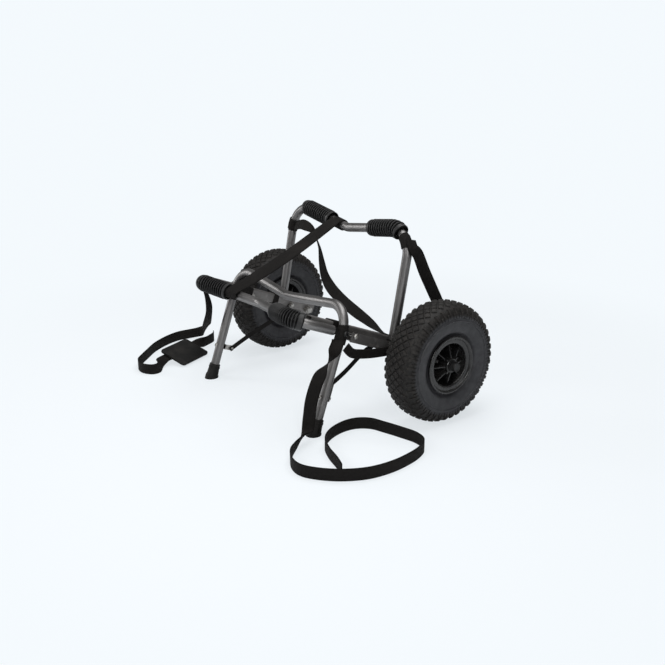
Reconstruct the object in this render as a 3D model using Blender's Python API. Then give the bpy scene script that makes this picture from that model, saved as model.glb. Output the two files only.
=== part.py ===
"""Paddleboard cart: two padded U frames on a pair of side rails, a folding kickstand and two air wheels.

Metres, +Z up, +X to the cart's right wheel, -Y to the kickstand. The origin is on the ground in the
middle of the cart's footprint, loose straps left out, a little ahead of the wheels' axis.
"""

import math

import bmesh
import bpy
from mathutils import Matrix, Vector

# Driving dimensions. A place on a side of the cart is given by its distance from the axle along the
# rail and its height square to the rail, because everything there is drilled along that line.
GAP = 0.0003
WHEEL_RADIUS = 0.130
TYRE_WIDTH = 0.085
HALF_TRACK = 0.2976
AXLE_HEIGHT = WHEEL_RADIUS
AXLE_BACK = 0.0895
RAIL_RISE = math.radians(22)
FRAME_HALF = 0.206

# Frame tube, 20 mm by 1.5 mm
TUBE_R = 0.010
TUBE_WALL = 0.0015
TUBE_SIDES = 12

# Side rail, a rounded box tube on the inner side of each frame arm
RAIL_WIDTH = 0.020
ARM_TO_RAIL = 0.006
RAIL_HALF_SPACING = FRAME_HALF - TUBE_R - ARM_TO_RAIL - RAIL_WIDTH / 2
RAIL_HEIGHT = 0.022
RAIL_WALL = 0.0016
RAIL_CORNER = 0.003
RAIL_LIFT = 0.005
RAIL_REAR = -0.018

# Bracket, an open channel on the outer side of each rail
BRACKET_WALL = 0.002
BRACKET_ROOM = 0.027
BRACKET_TOP = 0.007
BRACKET_BOTTOM = -0.0135

# Front frame, fixed to the rails. Its reach sets how far forward the rails end, and where its arms end.
FRONT_REACH = 0.3156
FRONT_DIP = 0.050
FRONT_BEND = 0.045
FRONT_ARM = 0.1011
BAR_AHEAD = 0.0450
FRONT_ARM_TIP = FRONT_REACH - FRONT_ARM
RAIL_FRONT = FRONT_REACH - BAR_AHEAD

# Rear frame, hinged in the brackets
REAR_PIVOT = 0.0535
REAR_PIVOT_LIFT = 0.0010
REAR_LEAN = math.radians(78.9)
REAR_REACH = 0.2404
REAR_DIP = 0.0227
REAR_BEND = 0.053
EYE_SHOULDER = 0.0105

# Kickstand, hinged on the rails between the front arms and the brackets
KICK_BEHIND_ARM = 0.0165
KICK_PIVOT = FRONT_ARM_TIP - KICK_BEHIND_ARM
KICK_LEAN = math.radians(70.3)
KICK_REACH = 0.050
KICK_DIP = 0.019
KICK_BEND = 0.046
FOOT_LENGTH = 0.034
FOOT_TOP_R = 0.0125
FOOT_BOTTOM_R = 0.0155
FOOT_SOLE = 0.004
WRAP_R = 0.0125
WRAP_HALF = 0.021
BRACKET_FRONT = KICK_PIVOT - WRAP_R - 0.002
BRACKET_NOTCH = BRACKET_FRONT - 0.0155

# Pads, as stretches along the frame tube measured from its middle
PAD_R = 0.0205
PAD_COLLAR_R = 0.0192
PAD_COLLAR = 0.009
PAD_LONG_COLLAR = 0.018
PAD_BORE = TUBE_R + 0.0008
FRONT_PADS = {"left": (-0.192, -0.0905), "right": (0.099, 0.208)}
REAR_PADS = {"left": (-0.167, -0.057), "right": (0.068, 0.180)}

# Turns of webbing on the rear frame, measured in the same way
REAR_WRAP_LEFT = (-0.247, -0.218)
REAR_WRAP_RIGHT = (0.1885, 0.219)
BOARD_LOOP = (-0.048, -0.015)

# Bolts
BOLT_R = 0.00285
BOLT_HOLE_R = 0.0032
BOLT_HEAD_R = 0.0055
BOLT_HEAD = 0.0035
NUT_THICK = 0.005
FRONT_BOLTS = (FRONT_ARM_TIP + 0.0135, RAIL_FRONT - 0.0145)
FRONT_BOLT_TIP = 0.003
BRACKET_BOLT = BRACKET_FRONT - 0.0115

# Axle and wheel
AXLE_R = 0.006
AXLE_HOLE_R = 0.0063
AXLE_NUT_R = 0.010
AXLE_NUT_THICK = 0.007
AXLE_COLLAR_R = 0.010
HUB_HALF = 0.040
HUB_R = 0.016
HUB_BORE_R = 0.0088
BUSH_FLANGE = 0.0022
CAP_LENGTH = 0.012
RIM_LIP_R = 0.0615
RIM_HALF = 0.0385
RIM_WALL = 0.0032
RIM_SEAT_R = 0.0515
RIM_RIBS = 8
TYRE_WALL = 0.0055
RIM_OPEN_R = 0.0450
VALVE_R = 0.0026
WHEEL_STEPS = 36
TREAD_HEIGHT = 0.0023
TREAD_SLOPE = 0.0020
TREAD_FROM = 0.1080
RIM_STEPS = 24

# Limit strap from each leg to the rear pivot
TAB_DROP = 0.138
TAB_REACH = {"left": 0.034, "right": 0.020}
TAB_BELOW = 0.006
TAB_ABOVE = {"left": 0.006, "right": 0.030}
TAB_THICK = 0.0015
LIMIT_WIDTH = 0.011
LIMIT_THICK = 0.0016

# Webbing
WEB_THICK = 0.002
TIE_WIDTH = 0.0255
BOARD_WIDTH = 0.032
RAIL_STRAP_WIDTH = 0.020
BUCKLE_PAD = (0.104, 0.076, 0.006)

SIDES = {"left": -1, "right": 1}
ACROSS = Vector((1, 0, 0))
ALONG = Vector((0, -math.cos(RAIL_RISE), math.sin(RAIL_RISE)))
SQUARE = Vector((0, math.sin(RAIL_RISE), math.cos(RAIL_RISE)))
UNDER_AXLE = Vector((0, AXLE_BACK, 0))
AXLE = UNDER_AXLE + Vector((0, 0, AXLE_HEIGHT))


def on_rail(along, lift=0.0, across=0.0):
    """A place by its distance from the axle along the rail, its height off it and its x."""
    return AXLE + ALONG * along + SQUARE * lift + ACROSS * across


RAIL_INNER = RAIL_HALF_SPACING - RAIL_WIDTH / 2
RAIL_OUTER = RAIL_HALF_SPACING + RAIL_WIDTH / 2
BRACKET_INNER = RAIL_OUTER + GAP
BRACKET_OUTER = BRACKET_INNER + BRACKET_ROOM + 2 * BRACKET_WALL
REAR_CENTRE = on_rail(REAR_PIVOT, REAR_PIVOT_LIFT)
KICK_CENTRE = on_rail(KICK_PIVOT)
REAR_UP = Vector((0, math.cos(REAR_LEAN), math.sin(REAR_LEAN)))
KICK_UP = Vector((0, math.cos(KICK_LEAN), math.sin(KICK_LEAN)))
LEG_TO_GROUND = KICK_CENTRE.z / KICK_UP.z


# Materials

def paint(name, colour, roughness, metallic=0.0):
    material = bpy.data.materials.new(name)
    material.use_nodes = True
    shader = material.node_tree.nodes["Principled BSDF"]
    shader.inputs["Base Color"].default_value = (*colour, 1)
    shader.inputs["Roughness"].default_value = roughness
    shader.inputs["Metallic"].default_value = metallic
    material.diffuse_color = (*colour, 1)
    return material


for old in list(bpy.data.objects):
    bpy.data.objects.remove(old)

GREY_TUBE = paint("grey_tube", (0.30, 0.29, 0.28), 0.35, 0.8)
ALUMINIUM = paint("aluminium", (0.42, 0.42, 0.41), 0.4, 0.9)
STEEL = paint("bright_steel", (0.66, 0.65, 0.62), 0.25, 1.0)
PAD_RUBBER = paint("pad_rubber", (0.03, 0.03, 0.03), 0.7)
BOOT_RUBBER = paint("boot_rubber", (0.025, 0.024, 0.023), 0.6)
TYRE_RUBBER = paint("tyre_rubber", (0.035, 0.035, 0.037), 0.8)
RIM_PLASTIC = paint("rim_plastic", (0.02, 0.02, 0.02), 0.4)
BLACK_PLASTIC = paint("black_plastic", (0.02, 0.02, 0.02), 0.45)
WEBBING = paint("webbing", (0.015, 0.014, 0.014), 0.85)


# Mesh helpers

def make(name, bm, material, weld=True):
    """Turn a bmesh into a named object with smooth round faces."""
    if weld:
        bmesh.ops.remove_doubles(bm, verts=bm.verts, dist=1e-6)
    bmesh.ops.recalc_face_normals(bm, faces=bm.faces)
    mesh = bpy.data.meshes.new(name)
    bm.to_mesh(mesh)
    bm.free()
    mesh.shade_smooth()
    mesh.set_sharp_from_angle(angle=math.radians(35))
    mesh.materials.append(material)
    thing = bpy.data.objects.new(name, mesh)
    bpy.context.collection.objects.link(thing)
    return thing


def cutter(name, bm):
    """A mesh that only cuts others."""
    thing = make(name, bm, BLACK_PLASTIC)
    thing.hide_render = True
    thing.display_type = "WIRE"
    return thing


def cut(thing, tool, operation="DIFFERENCE"):
    modifier = thing.modifiers.new(tool.name, "BOOLEAN")
    modifier.operation = operation
    modifier.solver = "EXACT"
    modifier.object = tool


def turn_about(bm, profile, centre, axis, up, steps, hexagon=None):
    """Spin a closed profile of (place along the axis, radius) into a ring or a solid.

    Between the two places of hexagon, its widest corners are brought in to the flats of a nut.
    """
    corners = [bm.verts.new(centre + axis * along + up * radius) for along, radius in profile]
    edges = [bm.edges.new(pair) for pair in zip(corners, corners[1:] + corners[:1])]
    bmesh.ops.spin(
        bm, geom=corners + edges, cent=centre, axis=axis, angle=math.tau, steps=steps, use_merge=True
    )
    bmesh.ops.remove_doubles(bm, verts=bm.verts, dist=1e-6)
    poles = [e for e in bm.edges if len(e.link_faces) == 0]
    bmesh.ops.delete(bm, geom=poles, context="EDGES")
    slivers = [f for f in bm.faces if f.calc_area() < 1e-12]
    bmesh.ops.delete(bm, geom=slivers, context="FACES_ONLY")
    if hexagon:
        corner = max(radius for along, radius in profile if hexagon[0] <= along <= hexagon[1])
        for vert in bm.verts:
            along = (vert.co - centre).dot(axis)
            spoke = vert.co - centre - axis * along
            turn = math.degrees(spoke.angle(up)) if spoke.length > 1e-6 else 0
            if hexagon[0] - 1e-6 < along < hexagon[1] + 1e-6 and abs(spoke.length - corner) < 1e-5:
                if abs(turn % 60 - 30) < 5:
                    vert.co -= spoke * (1 - math.cos(math.radians(30)))


def turned(name, profile, material, centre=AXLE, axis=ACROSS, up=None, steps=16, hexagon=None):
    bm = bmesh.new()
    turn_about(bm, profile, centre, axis, up or Vector((0, 0, 1)), steps, hexagon)
    return make(name, bm, material)


def rod(bm, start, end, radius, steps=16):
    """A plain round bar from start to end."""
    line = end - start
    place = Matrix.Translation((start + end) / 2) @ line.to_track_quat("Z", "Y").to_matrix().to_4x4()
    bmesh.ops.create_cone(
        bm, cap_ends=True, segments=steps, radius1=radius, radius2=radius, depth=line.length, matrix=place
    )


def drawn(name, outline, depth, place, material, bore=None):
    """Extrude an outline, and the bore inside it if there is one, along the third axis of place."""
    bm = bmesh.new()
    loops = []
    for points in [outline] + ([bore] if bore else []):
        for height in (0, depth):
            ring = [bm.verts.new(place @ Vector((x, y, height))) for x, y in points]
            loops.append(ring)
    for low, high in (loops[:2], loops[2:]) if bore else (loops,):
        for i in range(len(low)):
            j = (i + 1) % len(low)
            bm.faces.new((low[i], low[j], high[j], high[i]))
    for end in (0, 1):
        if bore:
            outer, inner = loops[end], loops[end + 2]
            for i in range(len(outer)):
                j = (i + 1) % len(outer)
                bm.faces.new((outer[i], outer[j], inner[j], inner[i]))
        else:
            bm.faces.new(loops[end])
    return make(name, bm, material)


def rounded(width, height, radius, steps=2):
    """The corners of a rounded rectangle about its middle."""
    points = []
    for quarter, (sx, sy) in enumerate(((1, 1), (-1, 1), (-1, -1), (1, -1))):
        for i in range(steps + 1):
            angle = math.radians(90) * (quarter + i / steps)
            points.append((
                sx * (width / 2 - radius) + radius * math.cos(angle),
                sy * (height / 2 - radius) + radius * math.sin(angle),
            ))
    return points


def frame_place(origin, third):
    """Axes whose third lies along `third` and whose first is the cart's X."""
    third = third.normalized()
    second = third.cross(ACROSS).normalized()
    return Matrix.Translation(origin) @ Matrix((ACROSS, second, third)).transposed().to_4x4()


def box(bm, low, high, place):
    """A box between two corners in the axes of place."""
    size = Vector(high) - Vector(low)
    middle = (Vector(high) + Vector(low)) / 2
    made = bmesh.ops.create_cube(bm, size=1)
    bmesh.ops.scale(bm, vec=size, verts=made["verts"])
    bmesh.ops.translate(bm, vec=middle, verts=made["verts"])
    bmesh.ops.transform(bm, matrix=place, verts=made["verts"])


# U frames. Each is one bent tube whose cross bar dips in a shallow V at its middle.

def u_path(reach, dip, bend, arm_end, bend_steps=6, dip_radius=0.06, dip_steps=2):
    """The half of a U frame's centreline from its middle to an arm's end, as (x, height) pairs."""
    slope = math.atan2(dip, FRAME_HALF - bend)
    low = reach - dip
    start = dip_radius * math.tan(slope / 2)
    dip_centre = low + start * math.sin(slope) + dip_radius * math.cos(slope)
    half = []
    for i in range(dip_steps + 1):
        angle = slope * i / dip_steps
        half.append((dip_radius * math.sin(angle), dip_centre - dip_radius * math.cos(angle)))
    corner_x = FRAME_HALF - bend
    end_x = corner_x - bend * math.sin(slope)
    slope_start = half[-1]
    end_height = slope_start[1] + (end_x - slope_start[0]) * math.tan(slope)
    corner_height = end_height - bend * math.cos(slope)
    turn = math.radians(90) + slope
    for i in range(bend_steps + 1):
        angle = turn * (1 - i / bend_steps)
        half.append((corner_x + bend * math.cos(angle), corner_height + bend * math.sin(angle)))
    half.append((FRAME_HALF, arm_end))
    return half


def whole_path(half, centre, up):
    """Both halves of a U frame as points in the cart, from the left arm's end to the right one's."""
    flat = [(-x, height) for x, height in reversed(half[1:])] + half
    return [centre + ACROSS * x + up * height for x, height in flat]


def lengths_from_middle(points):
    """How far along the tube each point lies from the frame's middle."""
    total = [0.0]
    for a, b in zip(points, points[1:]):
        total.append(total[-1] + (b - a).length)
    middle = total[len(total) // 2]
    return [t - middle for t in total]


def stretch(points, start, end):
    """The part of a path between two distances from its middle."""
    marks = lengths_from_middle(points)

    def at(distance):
        for i in range(len(points) - 1):
            if marks[i] <= distance <= marks[i + 1]:
                share = (distance - marks[i]) / (marks[i + 1] - marks[i])
                return points[i].lerp(points[i + 1], share)
        return points[0] if distance < marks[0] else points[-1]

    inside = [p for p, m in zip(points, marks) if start + 1e-4 < m < end - 1e-4]
    return [at(start)] + inside + [at(end)]


def rings_along(points, across):
    """At each point of a flat path: the point and the two directions of its mitred section."""
    rings = []
    for i, point in enumerate(points):
        before = (point - points[i - 1]).normalized() if i else None
        after = (points[i + 1] - point).normalized() if i + 1 < len(points) else None
        going = ((before or after) + (after or before)).normalized()
        stretch_out = 1 / max(0.5, going.dot(after or before))
        rings.append((point, across, across.cross(going).normalized() * stretch_out))
    return rings


def hollow_sweep(bm, points, across, outer, inner, sides=TUBE_SIDES):
    """A tube along a flat path; outer is a radius, or one radius for each point."""
    radii = outer if isinstance(outer, (list, tuple)) else [outer] * len(points)
    skins = []
    for radius_at in (lambda i: radii[i], lambda i: inner):
        skin = []
        for i, (point, first, second) in enumerate(rings_along(points, across)):
            ring = []
            for k in range(sides):
                angle = math.tau * (k + 0.5) / sides
                ring.append(bm.verts.new(
                    point + (first * math.cos(angle) + second * math.sin(angle)) * radius_at(i)
                ))
            skin.append(ring)
        skins.append(skin)
    for skin in skins:
        for a, b in zip(skin, skin[1:]):
            for k in range(sides):
                j = (k + 1) % sides
                bm.faces.new((a[k], a[j], b[j], b[k]))
    for end in (0, -1):
        outside, inside = skins[0][end], skins[1][end]
        for k in range(sides):
            j = (k + 1) % sides
            bm.faces.new((outside[k], outside[j], inside[j], inside[k]))


def bent_tube(name, points, across, material=GREY_TUBE):
    bm = bmesh.new()
    hollow_sweep(bm, points, across, TUBE_R, TUBE_R - TUBE_WALL)
    return make(name, bm, material)


def pad(name, points, across, span, collars=(PAD_COLLAR, PAD_COLLAR)):
    """A rubber sleeve on the tube: a fat ribbed middle between two plain collars."""
    start, end = span
    step = 0.001
    marks = (start, start + collars[0], start + collars[0] + step, end - collars[1] - step, end - collars[1], end)
    route = stretch(points, marks[0], marks[1])
    radii = [PAD_COLLAR_R] * len(route)
    middle = stretch(points, marks[2], marks[3])
    route += middle
    radii += [PAD_R] * len(middle)
    last = stretch(points, marks[4], marks[5])
    route += last
    radii += [PAD_COLLAR_R] * len(last)
    bm = bmesh.new()
    hollow_sweep(bm, route, across, radii, PAD_BORE, 14)
    return make(name, bm, PAD_RUBBER)


def turns_of_webbing(name, points, across, span):
    """A strap wound round the tube, as a plain sleeve."""
    bm = bmesh.new()
    hollow_sweep(bm, stretch(points, *sorted(span)), across, WRAP_R, TUBE_R + GAP)
    return make(name, bm, WEBBING)


FRONT_ARM_END = FRONT_ARM_TIP + TUBE_R
front_path = whole_path(u_path(FRONT_REACH, FRONT_DIP, FRONT_BEND, FRONT_ARM_END), AXLE, ALONG)
front_across = ACROSS.cross(ALONG)
front_frame = bent_tube("front_frame", front_path, front_across)
pad("front_pad_left", front_path, front_across, FRONT_PADS["left"], (PAD_COLLAR, PAD_LONG_COLLAR))
pad("front_pad_right", front_path, front_across, FRONT_PADS["right"], (PAD_COLLAR, PAD_LONG_COLLAR))

rear_path = whole_path(u_path(REAR_REACH, REAR_DIP, REAR_BEND, EYE_SHOULDER), REAR_CENTRE, REAR_UP)
rear_across = ACROSS.cross(REAR_UP)
rear_frame = bent_tube("rear_frame", rear_path, rear_across)
for side, span in REAR_PADS.items():
    pad(f"rear_pad_{side}", rear_path, rear_across, span, (PAD_COLLAR, PAD_COLLAR))

leg_end = -(LEG_TO_GROUND - FOOT_SOLE - TUBE_R * abs(KICK_UP.y) / KICK_UP.z)
kick_path = whole_path(u_path(KICK_REACH, KICK_DIP, KICK_BEND, leg_end), KICK_CENTRE, KICK_UP)
kick_across = ACROSS.cross(KICK_UP)
kickstand = bent_tube("kickstand", kick_path, kick_across)


# Side rails with their end plugs, and the open brackets bolted to their outer sides

rails = {}
brackets = {}
for side, sign in SIDES.items():
    start = on_rail(RAIL_REAR, RAIL_LIFT, sign * RAIL_HALF_SPACING)
    inner = rounded(
        RAIL_WIDTH - 2 * RAIL_WALL, RAIL_HEIGHT - 2 * RAIL_WALL, RAIL_CORNER - RAIL_WALL
    )
    rails[side] = drawn(
        f"rail_{side}", rounded(RAIL_WIDTH, RAIL_HEIGHT, RAIL_CORNER), RAIL_FRONT - RAIL_REAR,
        frame_place(start, ALONG), ALUMINIUM, inner
    )
    low, high = BRACKET_BOTTOM, BRACKET_TOP
    near, far = BRACKET_INNER, BRACKET_OUTER
    wall = BRACKET_WALL
    channel = [
        (near, high), (near, low), (far, low), (far, high),
        (far - wall, high), (far - wall, low + wall), (near + wall, low + wall), (near + wall, high),
    ]
    brackets[side] = drawn(
        f"bracket_{side}", [(sign * x, height) for x, height in channel], BRACKET_FRONT - RAIL_REAR,
        frame_place(on_rail(RAIL_REAR), ALONG), ALUMINIUM
    )

# The bracket's floor is cut back at its front, so that the kickstand's leg swings between its flanges.
bm = bmesh.new()
for sign in SIDES.values():
    place = frame_place(on_rail(BRACKET_NOTCH, 0, sign * (BRACKET_INNER + BRACKET_OUTER) / 2), ALONG)
    room = BRACKET_ROOM / 2
    box(bm, (-room, BRACKET_BOTTOM - 0.004, 0), (room, BRACKET_BOTTOM + 0.004, 0.03), place)
bracket_notches = cutter("bracket_notches", bm)
for side in SIDES:
    cut(brackets[side], bracket_notches)


# Plastic eyes at the rear frame's arm ends and plugs in the front arms

def eye_outline(steps=10):
    points = [(TUBE_R - 0.0005, EYE_SHOULDER - GAP)]
    for i in range(steps + 1):
        angle = math.pi * i / steps
        points.append(((TUBE_R - 0.0005) * math.cos(angle), -(TUBE_R - 0.0005) * math.sin(angle)))
    points.append((-(TUBE_R - 0.0005), EYE_SHOULDER - GAP))
    return points


EYE_WIDTH = 0.019
EYE_BOSS_R = 0.0068
PLUG_R = TUBE_R - TUBE_WALL - GAP
eye_span = BRACKET_ROOM - 2 * GAP
eye_middle = (BRACKET_INNER + BRACKET_OUTER) / 2
eyes = []
for side, sign in SIDES.items():
    middle = REAR_CENTRE + ACROSS * sign * FRAME_HALF
    forward = REAR_UP.cross(ACROSS)
    place = Matrix.Translation(middle - ACROSS * EYE_WIDTH / 2) @ Matrix(
        (forward, REAR_UP, ACROSS)
    ).transposed().to_4x4()
    eye = drawn(f"rear_eye_{side}", eye_outline(), EYE_WIDTH, place, BLACK_PLASTIC)
    stem = bmesh.new()
    rod(stem, middle + REAR_UP * (EYE_SHOULDER - 0.003), middle + REAR_UP * (EYE_SHOULDER + 0.016), PLUG_R)
    cut(eye, cutter(f"eye_stem_{side}", stem), "UNION")
    boss = bmesh.new()
    between = REAR_CENTRE + ACROSS * sign * eye_middle
    rod(boss, between - ACROSS * eye_span / 2, between + ACROSS * eye_span / 2, EYE_BOSS_R, 20)
    cut(eye, cutter(f"eye_boss_{side}", boss), "UNION")
    eyes.append(eye)

DOME_R = TUBE_R - GAP
arm_plugs = []
dome = [(-DOME_R * math.sin(math.radians(a)), DOME_R * math.cos(math.radians(a))) for a in (0, 22, 44, 66)]
for side, sign in SIDES.items():
    end = on_rail(FRONT_ARM_END, 0, sign * FRAME_HALF)
    shoulder = [(a - GAP, r) for a, r in reversed(dome)]
    arm_plugs.append(turned(
        f"arm_plug_{side}",
        [(-DOME_R - GAP, 0.0)] + shoulder + [(-GAP, PLUG_R), (0.009, PLUG_R), (0.009, 0.0)],
        BLACK_PLASTIC, end, ALONG, SQUARE, 16
    ))


# Kickstand: rubber boots, turns of webbing at the crossing, and the tabs for the limit straps

feet = {}
for side, sign in SIDES.items():
    ground = KICK_CENTRE - KICK_UP * LEG_TO_GROUND + ACROSS * sign * FRAME_HALF
    bm = bmesh.new()
    turn_about(
        bm, [(-0.012, 0.0), (-0.012, FOOT_BOTTOM_R), (0.006, FOOT_BOTTOM_R), (FOOT_LENGTH, FOOT_TOP_R),
             (FOOT_LENGTH, 0.0)],
        ground, KICK_UP, kick_across, 24
    )
    bmesh.ops.bisect_plane(
        bm, geom=bm.verts[:] + bm.edges[:] + bm.faces[:], plane_co=(0, 0, 0), plane_no=(0, 0, 1),
        clear_inner=True
    )
    bmesh.ops.holes_fill(bm, edges=[e for e in bm.edges if e.is_boundary], sides=0)
    feet[side] = make(f"foot_{side}", bm, BOOT_RUBBER)
    bore = bmesh.new()
    leg_bottom = KICK_CENTRE + KICK_UP * (leg_end - GAP) + ACROSS * sign * FRAME_HALF
    rod(bore, leg_bottom, leg_bottom + KICK_UP * 0.06, TUBE_R + GAP, 20)
    cut(feet[side], cutter(f"boot_bore_{side}", bore))

pivot_mark = lengths_from_middle(kick_path)[-1] + leg_end
leg_wraps = {}
for side, sign in SIDES.items():
    span = (sign * (pivot_mark - WRAP_HALF), sign * (pivot_mark + WRAP_HALF))
    leg_wraps[side] = turns_of_webbing(f"leg_wrap_{side}", kick_path, kick_across, span)
turns_of_webbing("arm_wrap_left", rear_path, rear_across, REAR_WRAP_LEFT)
turns_of_webbing("board_strap_loop", rear_path, rear_across, BOARD_LOOP)

BEHIND = KICK_UP.cross(ACROSS)
tabs = {}
TAB_INNER = FRAME_HALF - 0.0090
tab_centre = KICK_CENTRE - KICK_UP * TAB_DROP
for side, sign in SIDES.items():
    near, far = FRAME_HALF + 0.006, TAB_INNER
    back = TUBE_R + GAP
    outline = [
        (near, back), (far, back), (far, TAB_REACH[side]), (far + TAB_THICK, TAB_REACH[side]),
        (far + TAB_THICK, back + TAB_THICK), (near, back + TAB_THICK),
    ]
    place = Matrix.Translation(tab_centre - KICK_UP * TAB_BELOW) @ Matrix(
        (ACROSS * sign, BEHIND, KICK_UP)
    ).transposed().to_4x4()
    tabs[side] = drawn(f"strap_tab_{side}", outline, TAB_BELOW + TAB_ABOVE[side], place, STEEL)

# Fasteners. Each bolt is one turned solid with the hexagon nut that is run onto it.

LEG_BOLT_R = 0.0022


def fastener(name, middle, out, seat, nut_seat, radius=BOLT_R, head_r=BOLT_HEAD_R, head=BOLT_HEAD, up=SQUARE):
    """A dome head bolt: its head lands at seat and its nut's face at nut_seat, both along out."""
    nut_back = nut_seat - NUT_THICK * radius / BOLT_R
    corner = 2 * radius
    tip = nut_back - radius / 2
    profile = [
        (tip, 0.0), (tip, radius), (nut_back, radius), (nut_back, corner), (nut_seat, corner), (nut_seat, radius),
        (seat, radius), (seat, head_r), (seat + head * 0.5, head_r), (seat + head, head_r * 0.5), (seat + head, 0.0),
    ]
    turned(name, profile, STEEL, middle, out, up, 12, (nut_back, nut_seat))


NUT_SEAT = RAIL_INNER - GAP
STRAP_X = RAIL_INNER - GAP - LIMIT_THICK / 2
for side, sign in SIDES.items():
    out = ACROSS * sign
    strap_face = STRAP_X - LIMIT_THICK / 2 - GAP
    fastener(f"rear_pivot_bolt_{side}", REAR_CENTRE, out, BRACKET_OUTER + GAP, strap_face)
    fastener(f"kickstand_pivot_bolt_{side}", KICK_CENTRE, out, FRAME_HALF + WRAP_R + GAP, NUT_SEAT)
    fastener(f"bracket_bolt_{side}", on_rail(BRACKET_BOLT), out, BRACKET_OUTER + GAP, NUT_SEAT)
    for number, place in enumerate(FRONT_BOLTS, 1):
        tip = -FRAME_HALF - FRONT_BOLT_TIP
        turned(
            f"front_bolt_{side}_{number}",
            [(tip, 0.0), (tip, BOLT_R), (-NUT_SEAT, BOLT_R), (-NUT_SEAT, BOLT_HEAD_R),
             (BOLT_HEAD * 0.5 - NUT_SEAT, BOLT_HEAD_R), (BOLT_HEAD - NUT_SEAT, BOLT_HEAD_R * 0.5),
             (BOLT_HEAD - NUT_SEAT, 0.0)],
            STEEL, on_rail(place), -out, SQUARE, 12
        )
    fastener(
        f"tab_bolt_{side}", tab_centre + out * FRAME_HALF, -BEHIND, TUBE_R + GAP,
        -(TUBE_R + 2 * GAP + TAB_THICK), LEG_BOLT_R, 0.0045, 0.003, KICK_UP
    )

# One moulded spacer on each rail keeps the front arm, and the leg behind it, off the rail.
spacers = {}
SPACER_HALF = 0.007
SPACER_BEYOND = 0.0085
SPACER_RELIEF = 0.0022
for side, sign in SIDES.items():
    inner = RAIL_OUTER + GAP
    at_arm = FRAME_HALF - TUBE_R - GAP
    at_leg = FRAME_HALF - WRAP_R - 3 * GAP
    step = (KICK_PIVOT + WRAP_R + FRONT_ARM_TIP) / 2
    outline = [
        (inner, KICK_PIVOT - 0.009), (at_leg, KICK_PIVOT - 0.009), (at_leg, step), (at_arm, step + 0.004),
        (at_arm, FRONT_BOLTS[-1]), (at_arm - SPACER_RELIEF, FRONT_BOLTS[-1] + SPACER_BEYOND),
        (inner, FRONT_BOLTS[-1] + SPACER_BEYOND),
    ]
    place = Matrix.Translation(AXLE - SQUARE * SPACER_HALF) @ Matrix(
        (ACROSS * sign, ALONG, SQUARE)
    ).transposed().to_4x4()
    spacers[side] = drawn(f"side_spacer_{side}", outline, 2 * SPACER_HALF, place, BLACK_PLASTIC)

# Holes, drilled through both sides of the cart at once
bm = bmesh.new()
drill_start = RAIL_INNER - 0.020
drill_end = BRACKET_OUTER + 0.0237
drill_stop = FRAME_HALF + FRONT_BOLT_TIP + 0.001
for sign in SIDES.values():
    for place in (REAR_CENTRE, KICK_CENTRE, on_rail(BRACKET_BOLT)):
        rod(bm, place + ACROSS * sign * drill_start, place + ACROSS * sign * drill_end, BOLT_HOLE_R, 8)
    for place in (on_rail(p) for p in FRONT_BOLTS):
        rod(bm, place + ACROSS * sign * drill_start, place + ACROSS * sign * drill_stop, BOLT_HOLE_R, 8)
bolt_holes = cutter("bolt_holes", bm)
bm = bmesh.new()
for sign in SIDES.values():
    rod(bm, AXLE + ACROSS * sign * drill_start, AXLE + ACROSS * sign * drill_end, AXLE_HOLE_R, 12)
axle_holes = cutter("axle_holes", bm)
bm = bmesh.new()
for sign in SIDES.values():
    middle = tab_centre + ACROSS * sign * FRAME_HALF
    rod(bm, middle - BEHIND * 0.02, middle + BEHIND * 0.02, LEG_BOLT_R + 0.0002, 12)
leg_holes = cutter("leg_holes", bm)
drilled_for_bolts = (
    *rails.values(), *brackets.values(), *eyes, *arm_plugs, *spacers.values(), *leg_wraps.values(),
    front_frame, kickstand,
)
for drilled in drilled_for_bolts:
    cut(drilled, bolt_holes)
for drilled in (*rails.values(), *brackets.values()):
    cut(drilled, axle_holes)
for drilled in (kickstand, *tabs.values()):
    cut(drilled, leg_holes)


# Stub axles and wheels

HUB_OUTER = HALF_TRACK + HUB_HALF
CAP_FACE = HUB_OUTER + GAP + BUSH_FLANGE + GAP
TYRE_SEAT = RIM_SEAT_R + RIM_WALL
tyre_outline = [
    (0.0310, 0.0560), (0.0365, 0.0680), (0.0425, 0.0930), (0.0408, TREAD_FROM),
    (0.0345, 0.1182), (0.0195, 0.1254), (0.0, 0.1279),
]


def shrink(points, wall):
    """The same outline moved inwards by the wall, for the inside of the tyre."""
    moved = []
    for i, (x, r) in enumerate(points):
        ahead = points[min(i + 1, len(points) - 1)]
        behind = points[max(i - 1, 0)]
        way = Vector((ahead[0] - behind[0], ahead[1] - behind[1])).normalized()
        moved.append((max(0.0, x - way.y * wall), r + way.x * wall))
    return moved


def tread(tyre, hub, out):
    """Raise each facet of the tyre's crown into a block, so that grooves run between them."""
    bm = bmesh.new()
    bm.from_mesh(tyre.data)
    crown = []
    for face in bm.faces:
        spoke = face.calc_center_median() - hub
        spoke -= out * spoke.dot(out)
        if spoke.length > TREAD_FROM and face.normal.dot(spoke) > 0:
            crown.append(face)
    bmesh.ops.inset_individual(
        bm, faces=crown, thickness=TREAD_SLOPE, depth=TREAD_HEIGHT, use_even_offset=True
    )
    bm.to_mesh(tyre.data)
    bm.free()


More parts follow.
